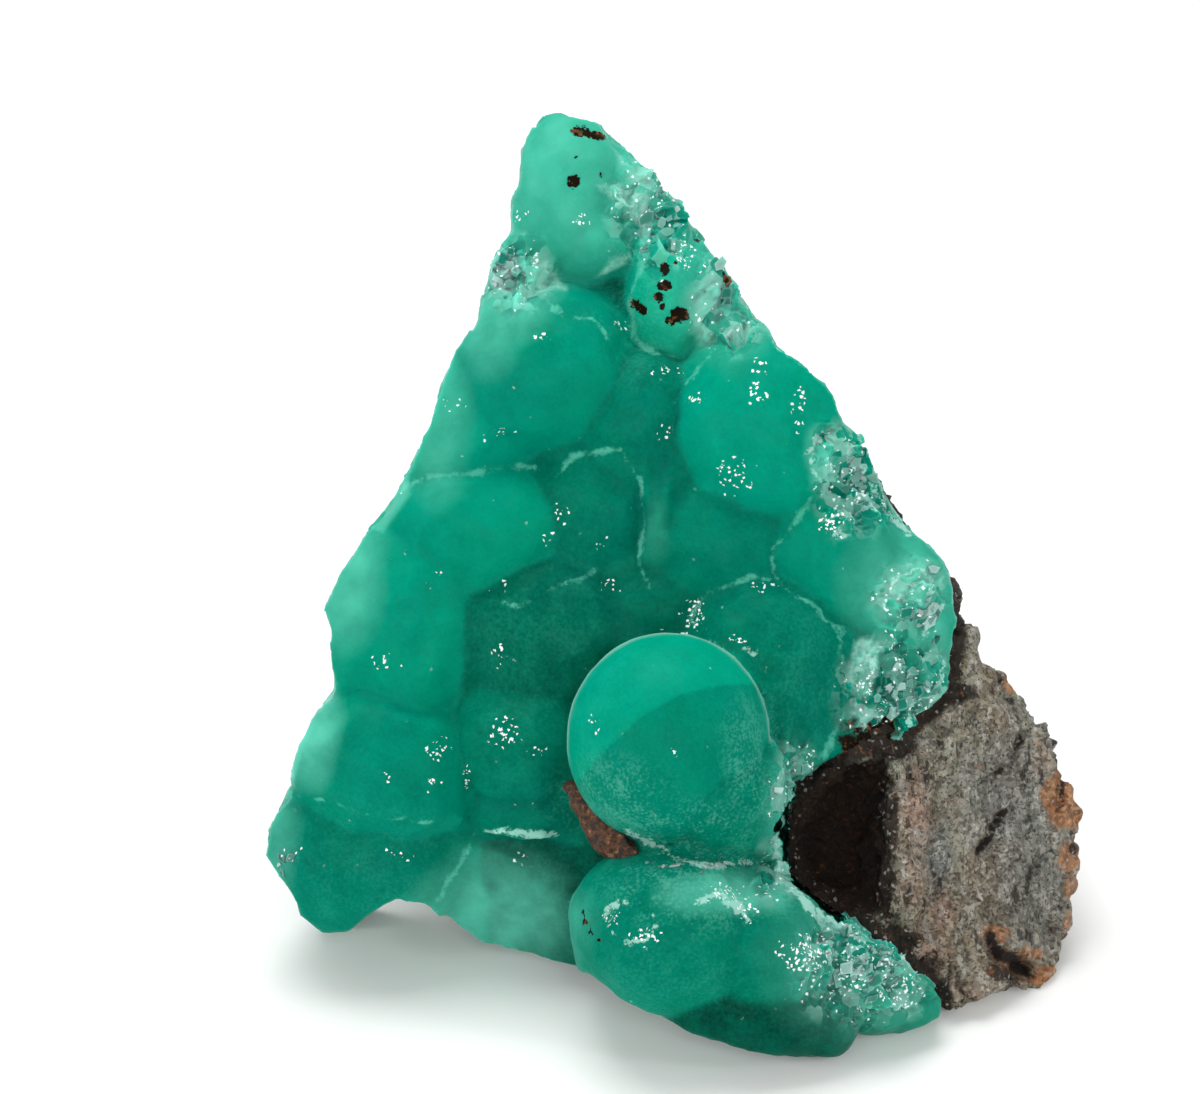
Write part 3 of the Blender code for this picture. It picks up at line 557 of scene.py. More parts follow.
# Where the painted glints gather: in these spots more of the tiny mirror cells are painted near-white.
GLINT_SPOTS = (
    (-14.7, 39.7, 0.5, 0.4, 1.0), (-11.7, 37.7, 0.9, 0.3, 0.8), (-7.9, 32.4, 0.4, 0.6, 1.0),
    (-8.4, 30.9, 0.5, 0.4, 0.8), (-11.9, 27.8, 0.6, 0.3, 0.8), (-15.9, 27.9, 0.4, 0.4, 0.7),
    (-11.0, 18.3, 0.7, 0.8, 1.2), (-9.1, 17.0, 0.5, 0.5, 0.9), (-11.7, 23.2, 0.5, 0.7, 1.0),
    (-19.3, 22.5, 0.8, 0.3, 1.1), (-15.6, 17.0, 0.7, 0.6, 1.1), (-15.9, 14.9, 0.4, 0.3, 1.3),
    (-19.2, 15.0, 0.5, 0.3, 0.7), (-18.3, 9.9, 0.7, 0.5, 0.8), (-25.2, 10.1, 0.6, 0.6, 0.8),
    (-10.3, 9.3, 0.5, 0.4, 0.8), (-13.4, 15.2, 0.3, 0.8, 0.8), (-5.3, 18.7, 0.3, 0.5, 1.3),
    (-0.2, 17.0, 0.3, 0.5, 0.9), (4.2, 24.0, 0.5, 0.2, 1.0), (0.0, 24.7, 1.6, 0.2, 1.0),
    (1.0, 25.7, 0.5, 0.9, 1.1), (5.5, 27.4, 0.9, 0.3, 1.0), (-4.3, 27.5, 0.5, 0.4, 0.9),
    (-5.2, 29.8, 0.3, 0.8, 0.6), (0.4, 49.8, 0.7, 0.6, 1.4), (5.3, 41.2, 0.5, 1.1, 1.1),
    (1.2, 39.8, 0.5, 0.3, 1.1), (3.8, 34.8, 0.9, 0.9, 1.0), (8.4, 39.2, 0.5, 1.1, 0.8),
    (-0.9, 37.4, 0.5, 0.5, 0.7), (10.2, 31.8, 0.9, 0.7, 1.1), (12.0, 33.6, 0.4, 0.6, 1.4),
    (14.6, 23.8, 0.4, 0.9, 0.9), (12.6, 21.0, 0.4, 0.8, 1.3), (13.4, 19.4, 0.7, 0.5, 1.2),
    (16.8, 20.6, 0.4, 0.9, 1.2), (9.2, 16.2, 0.3, 0.9, 1.2), (3.4, 7.6, 1.4, 0.5, 1.4),
    (4.8, 6.6, 0.6, 0.6, 1.3), (8.0, 3.6, 1.2, 1.0, 1.5), (12.2, 2.4, 1.8, 1.2, 1.1),
    (15.0, 1.0, 1.2, 0.8, 1.1), (-4.4, 6.0, 0.5, 0.4, 1.2), (-2.0, 5.2, 0.9, 0.4, 1.3),
    (-10.6, 52.2, 0.5, 0.3, 0.9), (-6.3, 51.9, 0.3, 0.5, 1.0), (-3.6, 45.0, 0.6, 0.2, 1.0),
    (-8.8, 44.2, 0.4, 0.3, 0.7), (-0.6, 42.0, 0.9, 0.3, 0.8), (7.2, 12.2, 0.5, 0.7, 1.2),
)
SPECKS = (
    (-6.3, 57.9, 0.7, 0.5), (-5.2, 57.6, 0.9, 0.4), (-6.5, 54.3, 0.5, 0.5), (-4.8, 54.8, 0.2, 0.2),
    (-6.6, 56.0, 0.15, 0.15), (-0.9, 48.7, 0.4, 0.4), (-0.7, 47.8, 0.6, 0.4),
    (-0.9, 46.9, 0.45, 0.35), (-0.6, 46.3, 0.3, 0.25), (-2.6, 46.3, 0.5, 0.4),
    (-2.0, 45.9, 0.4, 0.4), (0.5, 45.8, 0.6, 0.6), (-0.1, 45.3, 0.4, 0.35),
    (1.5, 50.9, 0.4, 0.4), (3.5, 48.2, 0.4, 0.7), (-5.8, 8.1, 0.2, 0.2),
    (-6.1, 7.5, 0.22, 0.2), (-6.1, 6.9, 0.25, 0.22), (-6.2, 6.2, 0.2, 0.25),
    (-6.0, 5.6, 0.25, 0.2), (-5.7, 5.0, 0.22, 0.2), (-5.2, 4.6, 0.2, 0.15),
    (-1.6, 50.3, 0.2, 0.2), (-0.2, 49.2, 0.2, 0.2),
)
MATTE_FACETS = (
    (((-5.1, 54.1), (-3.6, 54.3), (-1.7, 53.6), (-1.5, 52.1), (-2.0, 51.5), (-3.8, 52.9)), 0.9),
    (((-5.4, 48.4), (-4.5, 49.3), (-3.1, 49.7), (-3.4, 48.9), (-4.5, 48.4)), 0.8),
    (((-9.4, 49.3), (-8.1, 47.6), (-7.3, 47.2), (-7.5, 48.1), (-8.4, 49.1)), 0.7),
    (((-12.2, 49.4), (-10.6, 50.0), (-10.2, 48.2), (-11.0, 47.0), (-12.4, 47.4)), 0.6),
    (((11.5, 24.0), (12.5, 24.3), (13.7, 23.5), (13.1, 21.3), (12.5, 20.0), (11.6, 20.7)), 0.8),
    (((11.6, 19.6), (12.9, 19.9), (14.3, 18.5), (14.9, 17.7), (14.3, 16.3), (12.5, 16.6)), 0.7),
    (((9.8, 15.4), (11.0, 16.0), (12.0, 15.2), (10.4, 13.6), (9.4, 14.2)), 0.7),
    (((-4.6, 57.0), (-3.8, 56.4), (-2.2, 54.4), (-3.0, 54.4)), 0.5),
)
PALE_WEDGES = (
    (((-21.9, 21.0), (-23.5, 18.0), (-25.0, 15.2), (-25.8, 13.3), (-27.4, 13.3), (-26.0, 18.0),
      (-24.0, 21.6)), 0.75),
    (((-4.4, 56.8), (-4.2, 55.2), (-2.6, 53.4), (-1.0, 53.6), (-2.3, 56.0)), 0.6),
    (((-11.2, 46.7), (-9.2, 46.6), (-8.6, 49.0), (-9.6, 51.0), (-11.6, 50.0)), 0.5),
    (((-17.6, 35.6), (-19.0, 33.4), (-20.4, 31.4), (-19.4, 31.0), (-17.6, 33.6)), 0.5),
)
# Edge of the ball's painted lit cap: above this arc the ball's colour is painted lighter, as where the light from
# above falls on it.
LIT_DOME_EDGE = (
    (-7.2, 13.8), (-5.7, 15.7), (-5.0, 16.7), (-2.3, 19.2), (0.3, 20.7), (3.0, 21.2), (6.2, 21.2),
)


def inside_loop(places, corners):
    """One inside a convex loop on the face and nought outside, with a crisp rim between."""
    depth = np.full(len(places), np.inf)
    centre = np.mean(corners, axis=0)
    for first, second in zip(corners, corners[1:] + corners[:1]):
        along = np.subtract(second, first)
        inward = np.array((-along[1], along[0])) / np.hypot(*along)
        if (centre - first) @ inward < 0.0:
            inward = -inward
        depth = np.minimum(depth, (places[:, :2] - first) @ inward)
    return step_up(depth, -0.15, 0.25)


def store_mask(piece, name, values):
    attribute = piece.data.attributes.new(name, "FLOAT", "POINT")
    attribute.data.foreach_set("value", values.astype(np.float32))


def lobe_gaps(places):
    """How far each place is from the skin of each bubble, in millimetres, one row a bubble."""
    rows = []
    for _name, across, up, crown, wide, high, deep, turn, _light in LOBES:
        beside = places - np.array((across, up, crown - deep))
        cosine, sine = math.cos(math.radians(turn)), math.sin(math.radians(turn))
        along = beside[:, 0] * cosine + beside[:, 1] * sine
        over = beside[:, 1] * cosine - beside[:, 0] * sine
        reach = np.sqrt((along / wide) ** 2 + (over / high) ** 2 + (beside[:, 2] / deep) ** 2)
        rows.append(np.abs(reach - 1.0) * min(wide, high, deep))
    return np.array(rows)


def lines_on(places, lines):
    """A ramp that falls off evenly beside each line, for the shader to narrow to a crisp streak."""
    marked = np.zeros(len(places))
    for line, strength in lines:
        near = np.clip(1.0 - far_from_line(places, line) / LINE_REACH, 0.0, 1.0)
        marked = np.maximum(marked, strength * near)
    return marked


def frost_on(places):
    frost = np.maximum(soft_spots(places, FROST_SPOTS), lines_on(places, FROST_LINES))
    for across, up, wide, high, strength in FROST_RINGS:
        far = np.hypot((places[:, 0] - across) / wide, (places[:, 1] - up) / high)
        frost = np.maximum(frost, strength * np.clip(1.2 - 2.0 * np.abs(far - 1.0), 0.0, 1.0))
    return frost


places, facing = coordinates(crust), outlook(crust)
gaps = lobe_gaps(places)
weights = np.exp(-gaps / 0.09)
# Painted shade: the low bubbles underneath have their lightness turned down to stand for the shade that falls on
# them.
lightness_and_shade = np.array([lobe[-1] for lobe in LOBES])
tone_and_shade = weights.T @ lightness_and_shade / weights.sum(axis=0)

names = [lobe[0] for lobe in LOBES]
on_ball = gaps.argmin(axis=0) == names.index("ball")
# Painted light: the upper cap of the ball, above the arc, is marked to be painted lighter.
arc_height = np.interp(places[:, 0], *np.array(LIT_DOME_EDGE).T)
painted_lit_dome = on_ball * step_up(places[:, 1] - arc_height, -0.12, 0.12)

edge_gap = far_from_line(places, CRUST_EDGE + CRUST_EDGE[:1])
wall = (1.0 - step_up(np.abs(facing[:, 2]), 0.35, 0.6)) * (1.0 - step_up(edge_gap, 0.3, 0.6))
wall *= step_up(places[:, 1], 6.0, 9.0)
in_view = facing[:, 2] > 0.0
broken = np.maximum(soft_spots(places, BROKEN_SPOTS) * in_view, 0.5 * wall)
speck = soft_spots(places, [spot + (1.0,) for spot in SPECKS]) * step_up(facing[:, 2], 0.2, 0.5)
# Paler on pale frost, and paler at the thin edges and walls of the crust as a painted glow of light through it.
pale = np.maximum(soft_spots(places, PALE_AND_GLOW_SPOTS), 0.35 * wall)
for corners, strength in PALE_WEDGES:
    pale = np.maximum(pale, strength * inside_loop(places, corners))
facet = np.zeros(len(places))
for corners, strength in MATTE_FACETS:
    facet = np.maximum(facet, strength * inside_loop(places, corners) * in_view)
dust = soft_spots(places, DUST_SPOTS) * in_view
glint = soft_spots(places, GLINT_SPOTS) * in_view
# Painted light: the ball's upper outline is painted paler, a painted rim of light where the clear ball is thin.
rim = on_ball * (1.0 - step_up(facing[:, 2], 0.06, 0.24)) * step_up(places[:, 1], 15.0, 18.0)
rim = rim * step_up(facing[:, 2], -0.35, -0.10)

for name, values in (
    ("tone_and_shade", tone_and_shade), ("painted_lit_dome", painted_lit_dome), ("facet", facet), ("broken", broken), ("speck", speck),
    ("pale", pale), ("frost", frost_on(places)), ("seam", lines_on(places, SEAM_LINES)),
    ("dust", dust), ("glint", glint), ("rim", rim),
):
    store_mask(crust, name, values)
print("Share of the skin that is broken:", round(float((broken > 0.5).mean()), 2))

# %% [markdown]
# Now the skin gets its relief. All over it a slow ripple keeps the bubbles from being perfect, and
# where it is broken a patchwork of tilted planes makes the glassy faces of cleavage.

# %% Relief of the crust
def wander(places, size):
    """A slow drift in a direction of its own at every place."""
    return np.array([noise.noise_vector(Vector(place)) for place in places / size])


drift = 0.55 * wander(places, 4.5) + 0.22 * wander(places + 30.0, 1.7)
drift *= (step_up(edge_gap, 0.2, 2.0) * (1.0 - on_ball))[:, None]
moved = vertex_rows(crust, "co") + drift @ np.array(FACE_TURN).T * MM
crust.data.vertices.foreach_set("co", moved.ravel())
crust.data.update()

relief = (0.16 - 0.10 * on_ball) * ripples(places, 3.0) + 0.05 * ripples(places + 40.0, 1.1)
coarse, small = planes(places, 1.9, 0.24, 3), planes(places, 0.9, 0.20, 4)
relief += step_up(broken, 0.2, 0.8) * (1.0 - 0.5 * wall) * (coarse + small)
relief += 0.12 * facet
relief -= 0.12 * step_up(speck, 0.3, 0.9)
push(crust, relief - 0.08 * wall)
print("Relief, mm:", round(float(relief.min()), 2), "to", round(float(relief.max()), 2))

# %% [markdown]
# The rock is rougher. Long low ridges run down its broken face, grains stand out of it, and one
# dark crack crosses it.

# %% Relief of the rock
ROCK_CRACKS = (
    (((22.1, 12.5), (21.3, 11.5), (21.0, 10.7), (20.3, 10.0)), 1.0),
    (((21.1, 14.7), (21.8, 15.2), (22.5, 15.3)), 0.95),
    (((22.9, 16.3), (23.4, 17.6)), 0.9),
    (((25.6, 17.2), (26.2, 14.8), (26.0, 12.6)), 0.9),
)
ROCK_PIT = (((20.9, 4.2), (21.5, 3.0), (22.4, 2.9), (23.0, 1.9), (23.8, 1.7)), 1.0)
places = coordinates(rock)
seen = places[:, 2] > -8.0
cracks = lines_on(places, ROCK_CRACKS) * seen
pit = lines_on(places, (ROCK_PIT,)) * seen
stretched = places * np.array((1.0, 0.45, 1.0))
relief = 0.30 * ripples(stretched, 1.6) + 0.20 * ripples(places, 0.8)
relief += planes(places, 2.2, 0.16, 6) + planes(places, 1.0, 0.12, 7)
relief -= 0.8 * step_up(cracks, 0.5, 0.8) + 1.1 * step_up(pit + 0.3 * ripples(places, 1.2), 0.2, 0.7)
push(rock, relief - 0.05)
print("Rock relief, mm:", round(float(relief.min()), 2), "to", round(float(relief.max()), 2))

# %% [markdown]
# The hollow is cut out of both rock and crust after that, and the floor cuts off whatever would
# reach below it, so that the piece stands flat.

# %% The hollow and the floor cut
bm = bmesh.new()
add_hull(bm, [on_face(*corner) for corner in VUG_MOUTH + VUG_FLOOR])
vug = new_object("vug_hollow", bm)
roughen(vug, ROCK_VOXEL, ("vug_walls", 2.5, 2.0), ("vug_grains", 1.1, 0.9))

bm = bmesh.new()
bmesh.ops.create_cube(bm, size=100.0, matrix=Matrix.Translation((0.0, 0.0, -50.0)))
below_floor = new_object("below_floor", bm)

for piece in (crust, rock):
    cut(piece, vug)
    cut(piece, below_floor)
for cutter in (vug, below_floor, crust_outline, rock_outline):
    bpy.data.objects.remove(cutter)
print("Vertices:", len(crust.data.vertices), len(rock.data.vertices))

# %% [markdown]
# Where crust and rock meet there is a dark rind. Each vertex looks for the nearest point of the
# other piece, and the nearer it is, the darker the rind.

# %% The rind between crust and rock
RIND_REACH = 1.8


def tree_of(piece):
    return BVHTree.FromPolygons(
        [vert.co for vert in piece.data.vertices], [face.vertices for face in piece.data.polygons]
    )


def nearness(piece, other):
    tree = tree_of(other)
    found = []
    for vert in piece.data.vertices:
        hit = tree.find_nearest(vert.co, RIND_REACH * MM)
        found.append(1.0 if hit[0] is None else hit[3] / (RIND_REACH * MM))
    return 1.0 - np.array(found)


crust_places = coordinates(crust)
clean_rim = soft_spots(crust_places, ((7.6, 9.4, 3.4, 4.4, 1.0), (12.0, 4.6, 3.0, 1.6, 1.0)))
store_mask(crust, "rind", nearness(crust, rock) * (1.0 - 0.6 * clean_rim))
store_mask(rock, "rind", nearness(rock, crust))
print("Rind reaches", RIND_REACH, "mm")

# %% [markdown]
# Where the crust broke, its cleavage left glassy shards. Each is a thin plate with four to six
# corners that leans a little out of the skin, and every shard has its own shade of green.

# %% The cleavage shards
SHARD_ZONES = (
    ("apex_right", -1.0, 51.6, 1.6, 2.6, 1.3, 12, 0.36),
    ("shoulder", -11.2, 48.4, 1.2, 2.1, 1.3, 14, 0.42),
    ("knob_right", 3.6, 47.0, 1.2, 3.2, 1.3, 12, 0.38),
    ("right_strip", 12.2, 34.4, 1.0, 3.0, 1.2, 14, 0.40),
    ("right_edge", 16.6, 26.0, 1.4, 2.4, 1.3, 12, 0.36),
    ("right_broken", 15.2, 20.8, 2.2, 2.6, 1.5, 28, 0.34),
    ("ball_right", 7.8, 13.4, 0.8, 2.8, 1.1, 22, 0.38),
    ("ball_under", 0.6, 9.5, 3.0, 0.4, 0.8, 16, 0.5),
    ("front_broken", 12.6, 2.8, 3.6, 2.6, 1.4, 46, 0.38),
    ("foot", -25.8, 8.6, 0.8, 2.2, 1.0, 6, 0.36),
)
SHARD_THICK = 0.16
LOWEST_SHARD = 0.25


def skin_spot(skin, across, up):
    """The place on the skin behind a spot on the face, in millimetres, and the way it looks."""
    place, normal, _face, _far = skin.ray_cast(on_face(across, up, EDGE_FRONT) * MM, -OUT)
    return (None, None) if place is None else (place / MM, normal)


def add_plate(whole, ring, middle, lift, sink, light):
    """A thin plate: a fan of faces on top, a wall and a hidden back."""
    shade, edge = whole.verts.layers.float["chip"], whole.verts.layers.float["chip_edge"]
    crown = whole.verts.new(middle + lift)
    top = [whole.verts.new(corner + lift) for corner in ring]
    back = [whole.verts.new(corner - sink) for corner in ring]
    tip = whole.verts.new(middle - sink)
    for vert in top + back:
        vert[edge] = 1.0
    for vert in [crown, tip] + top + back:
        vert[shade] = light
    for step in range(len(ring)):
        whole.faces.new((crown, top[step - 1], top[step]))
        whole.faces.new((tip, back[step], back[step - 1]))
        whole.faces.new((top[step], top[step - 1], back[step - 1], back[step]))


def add_shard(whole, skin, zone, draw):
    _name, across, up, wide, high, length, _count, light = zone
    spot = (across + draw.gauss(0.0, 0.5 * wide), up + draw.gauss(0.0, 0.5 * high))
    size = 0.5 * length * draw.uniform(0.35, 1.0)
    lean = Vector([draw.gauss(0.0, 0.22) for _axis in range(3)])
    corners = draw.choice((4, 4, 5, 6))
    angles = [2.0 * math.pi * (step + draw.uniform(-0.3, 0.3)) / corners for step in range(corners)]
    reaches = [size * draw.uniform(0.7, 1.2) for _corner in range(corners)]
    value = min(1.0, max(0.1, draw.gauss(light, 0.28)))
    middle, normal = skin_spot(skin, *spot)
    if middle is None or middle.z - size < LOWEST_SHARD:
        return
    looks = (normal + lean).normalized()
    side = looks.orthogonal().normalized()
    other = looks.cross(side)
    ring = [
        middle + (side * math.cos(angle) + other * math.sin(angle) * 0.7) * reach
        for angle, reach in zip(angles, reaches)
    ]
    thick = looks * SHARD_THICK * size
    add_plate(whole, ring, middle, thick, 3.0 * thick, value)


skin_tree = tree_of(crust)
bm = bmesh.new()
bm.verts.layers.float.new("chip")
bm.verts.layers.float.new("chip_edge")
draw = random.Random(11)
for zone in SHARD_ZONES:
    for _shard in range(zone[-2]):
        add_shard(bm, skin_tree, zone, draw)
shards = new_object("shards", bm)
crust.data.shade_smooth()
print("Corners of shards:", len(shards.data.vertices))
with bpy.context.temp_override(active_object=crust, selected_editable_objects=[crust, shards]):
    bpy.ops.object.join()

# %% [markdown]
# Shader maths reads best as plain Python. A Wire wraps one output socket, and each operator on it
# adds a Math node. A Finish is one material, which adds any other node by its type.

# %% Wires and finishes


class Wire:
    """One output socket, on which Python's operators add Math nodes."""

    def __init__(self, finish, socket):
        self.finish = finish
        self.socket = socket

    def out(self, name):
        return Wire(self.finish, self.socket.node.outputs[name])

    def math(self, operation, *values, clamp=False):
        settings = {"operation": operation, "use_clamp": clamp}
        return self.finish.add("ShaderNodeMath", settings, dict(enumerate(values)))

    def __add__(self, other):
        return self.math("ADD", self, other)

    def __radd__(self, other):
        return self.math("ADD", other, self)

    def __sub__(self, other):
        return self.math("SUBTRACT", self, other)

    def __rsub__(self, other):
        return self.math("SUBTRACT", other, self)

    def __mul__(self, other):
        return self.math("MULTIPLY", self, other)

    def __rmul__(self, other):
        return self.math("MULTIPLY", other, self)

    def larger(self, other):
        return self.math("MAXIMUM", self, other)

    def clamp(self):
        return self.math("ADD", self, 0.0, clamp=True)


class Finish:
    """One material, and one method for every node in it."""

    def __init__(self, name):
        self.material = bpy.data.materials.new(name)
        self.material.use_nodes = True
        self.tree = self.material.node_tree
        self.tree.nodes.clear()
        self.output = self.tree.nodes.new("ShaderNodeOutputMaterial")

    def add(self, kind, settings=None, values=None, out=0):
        node = self.tree.nodes.new(kind)
        for name, value in (settings or {}).items():
            setattr(node, name, value)
        for key, value in (values or {}).items():
            if isinstance(value, Wire):
                self.tree.links.new(value.socket, node.inputs[key])
            else:
                node.inputs[key].default_value = value
        return Wire(self, node.outputs[out])

    def blend(self, amount, first, second, mode="MIX"):
        settings = {"data_type": "RGBA", "blend_type": mode}
        return self.add("ShaderNodeMix", settings, {0: amount, 6: first, 7: second}, out=2)

    def vector(self, operation, *values):
        return self.add("ShaderNodeVectorMath", {"operation": operation}, dict(enumerate(values)))

    def shifted(self, vector, distance):
        return self.vector("ADD", vector, (distance, distance, distance))

    def scaled(self, vector, amount):
        return self.add("ShaderNodeVectorMath", {"operation": "SCALE"}, {0: vector, 3: amount})

    def millimetres(self):
        return self.scaled(self.add("ShaderNodeTexCoord", out="Object"), 1.0 / MM)

    def mask(self, name):
        return self.add("ShaderNodeAttribute", {"attribute_name": name}, out="Fac")

    def smooth(self, value, low, high):
        values = {"Value": value, "From Min": low, "From Max": high}
        return self.add("ShaderNodeMapRange", {"interpolation_type": "SMOOTHSTEP"}, values)

    def noise(self, place, per_mm, detail=3.0, roughness=0.5):
        values = {"Vector": place, "Scale": per_mm, "Detail": detail, "Roughness": roughness}
        return self.add("ShaderNodeTexNoise", None, values)

    def cells(self, place, per_mm, feature="F1"):
        values = {"Vector": place, "Scale": per_mm}
        return self.add("ShaderNodeTexVoronoi", {"feature": feature}, values)

    def lottery(self, cells, channel=0):
        """One random number for each cell."""
        return self.add("ShaderNodeSeparateColor", None, {0: cells.out("Color")}, out=channel)

    def tilted(self, cells, amount):
        """The surface normal, leaning a different way in every cell."""
        lean = self.vector("SUBTRACT", cells.out("Color"), (0.5, 0.5, 0.5))
        normal = self.add("ShaderNodeNewGeometry", out="Normal")
        return self.vector("NORMALIZE", self.vector("ADD", normal, self.scaled(lean, amount)))

    def surface(self, shader):
        self.tree.links.new(shader.socket, self.output.inputs["Surface"])


print("Two small classes carry all the shader maths")

# %% [markdown]
# Smithsonite is translucent, so light enters and leaves a millimetre away. Subsurface scattering
# does that, with a constant reach. The sparkle comes from tiny crystal faces: a few Voronoi cells
# are mirrors, each tilted its own way, and they flash where a small lamp is reflected. These cells
# are also painted near-white, a painted highlight, and there are more of them at the glint spots.

# %% The smithsonite finish
DEEP_TEAL = (0.0, 0.264, 0.176, 1.0)
GREEN_TEAL = (0.0, 0.268, 0.167, 1.0)
MINT = (0.12, 0.54, 0.41, 1.0)
FROST = (0.33, 0.60, 0.52, 1.0)
ICE = (0.70, 0.86, 0.85, 1.0)
SHADE_TEAL = (0.0, 0.19, 0.13, 1.0)
GREY_GREEN = (0.11, 0.42, 0.32, 1.0)
SPECK_BLACK = (0.010, 0.006, 0.003, 1.0)
SPECK_BROWN = (0.15, 0.055, 0.018, 1.0)
FACETS_PER_MM = 0.9


def glassy_colour(made, facets, bent, colour):
    """Angular patches with paler seams, as cleavage shows them through the glassy crust."""
    patch = made.lottery(facets)
    seam = made.cells(bent, FACETS_PER_MM, "DISTANCE_TO_EDGE")
    glassy = made.blend(made.smooth(patch, 0.45, 1.0) * 0.6, colour, FROST)
    glassy = made.blend(made.smooth(patch, 0.0, 0.35), SHADE_TEAL, glassy)
    return made.blend((1.0 - made.smooth(seam, 0.0, 0.06)) * 0.15, glassy, FROST)


def shard_colour(made, fine):
    chip = made.mask("chip")
    colour = made.blend(made.smooth(chip, 0.15, 0.45), SHADE_TEAL, GREY_GREEN)
    colour = made.blend(made.smooth(chip, 0.45, 0.75), colour, FROST)
    colour = made.blend(made.smooth(chip, 0.8, 0.95), colour, ICE)
    edge = made.smooth(made.mask("chip_edge"), 0.70, 1.0) * made.smooth(fine, 0.35, 0.6)
    return made.blend(edge * 0.3, colour, ICE)


def smithsonite_colour(made, place, glassy_part, facets, bent):
    mottle = made.noise(place, 0.14)
    drift = made.noise(made.shifted(place, 7.0), 0.5, 4.0)
    fine = made.noise(place, 2.2, 4.0, 0.7)
    chip = made.smooth(made.mask("chip"), 0.02, 0.08)

    colour = made.blend(made.smooth(mottle, 0.35, 0.65), DEEP_TEAL, GREEN_TEAL)
    grains = made.noise(made.shifted(place, 3.0), 4.5, 3.0, 0.65)
    # Painted light and shade: the bubbles' lightness includes painted shade on the low bubbles, and the ball's upper
    # cap is painted lighter.
    light = made.mask("tone_and_shade") + made.mask("painted_lit_dome") * 0.26 + (drift - 0.5) * 0.3
    light = light + (fine - 0.5) * 0.3 + (grains - 0.5) * 0.35
    colour = made.blend(1.0, colour, light, "MULTIPLY")
    # Pale mint: pale frost, and painted glow of light through the thin edges.
    colour = made.blend((made.mask("pale") * (0.3 + drift * 1.3)).clamp(), colour, MINT)
    glassy = glassy_colour(made, facets, bent, colour)
    colour = made.blend(glassy_part * 0.85, colour, glassy)
    matte = made.blend(made.smooth(fine, 0.35, 0.65), GREY_GREEN, FROST)
    colour = made.blend(made.mask("facet") * (drift + 0.4), colour, matte)

    seam = made.smooth(made.mask("seam") + (drift - 0.5) * 1.2 + (fine - 0.5) * 0.7, 0.74, 1.04)
    colour = made.blend(seam * 0.55, colour, MINT)
    colour = made.blend(chip * 0.6, colour, shard_colour(made, fine))
    dust = made.mask("dust") * made.smooth(grains * 0.6 + drift * 0.4, 0.46, 0.62)
    colour = made.blend(dust * 0.36, colour, GREY_GREEN)
    frost = made.smooth(made.mask("frost") + (drift - 0.5) * 0.7 + (fine - 0.5) * 1.4, 0.72, 0.92)
    # Real frost, and on the ball a painted rim of light at its upper outline, share the frost colour.
    colour = made.blend((frost * 0.8).larger(made.mask("rim") * 0.5), colour, FROST)

    dots = made.noise(place, 3.6, 3.0, 0.6)
    speck = made.smooth(made.mask("speck") * (dots + 0.12), 0.40, 0.46)
    brown = made.blend(made.smooth(made.noise(place, 1.9), 0.56, 0.66), SPECK_BLACK, SPECK_BROWN)
    rind = made.smooth(made.mask("rind") + fine * 0.6, 0.98, 1.18)
    return made.blend(speck.larger(rind), colour, brown)


def gloss(made, colour, roughness, normal):
    values = {"Base Color": colour, "Roughness": roughness, "IOR": 1.6, "Normal": normal}
    return made.add("ShaderNodeBsdfPrincipled", None, values)


def smithsonite_finish():
    made = Finish("smithsonite")
    place = made.millimetres()
    fine = made.noise(place, 3.0, 4.0, 0.7)
    drift = made.noise(made.shifted(place, 7.0), 0.5, 4.0)
    broken = made.smooth(made.mask("broken") * (drift + 0.55), 0.25, 0.8)
    bent = made.vector("ADD", place, made.scaled(made.noise(place, 0.9).out("Color"), 0.9))
    facets = made.cells(bent, FACETS_PER_MM)
    colour = smithsonite_colour(made, place, broken, facets, bent)
    leaning = made.tilted(facets, broken * 0.7)
    grain = {"Height": fine, "Strength": 0.4, "Distance": 0.06 * MM, "Normal": leaning}
    bump = made.add("ShaderNodeBump", None, grain)
    skin = made.add(
        "ShaderNodeBsdfPrincipled",
        None,
        {
            "Base Color": colour,
            "Roughness": 0.38,
            "Specular IOR Level": 0.02,
            "Subsurface Weight": 0.9,
            "Subsurface Radius": (0.3, 1.0, 0.8),
            "Subsurface Scale": 1.3 * MM,
            "Normal": bump,
        },
    )
    chip = made.smooth(made.mask("chip"), 0.02, 0.08)
    shards = gloss(made, shard_colour(made, fine), 0.18, bump)
    skin = made.add("ShaderNodeMixShader", None, {0: chip * 0.45, 1: skin, 2: shards})
    glance = made.smooth(made.lottery(facets, 1), 0.55, 0.60) * made.smooth(fine, 0.35, 0.55)
    plane = gloss(made, colour, 0.12, made.tilted(facets, 1.1))
    skin = made.add("ShaderNodeMixShader", None, {0: glance * broken * 0.6, 1: skin, 2: plane})

    wobble = made.scaled(made.noise(place, 5.0).out("Color"), 0.25)
    sparkle = made.cells(made.vector("ADD", place, wobble), 6.5)
    # Painted highlight: the glinting cells are painted near-white on top of their real gloss.
    painted_highlight_white = made.blend(0.8, colour, (0.90, 0.98, 0.97, 1.0))
    glint = gloss(made, painted_highlight_white, 0.15, made.tilted(sparkle, 0.4))
    loose = broken * 0.02 + chip * 0.02 - 0.003
    share = made.lottery(sparkle, 2) + made.mask("glint") * 0.12 + loose
    amount = made.smooth(share, 0.996, 0.999)
    made.surface(made.add("ShaderNodeMixShader", None, {0: amount, 1: skin, 2: glint}))
    return made.material


crust.data.materials.clear()
crust.data.materials.append(smithsonite_finish())
print("Smithsonite nodes:", len(crust.data.materials[0].node_tree.nodes))

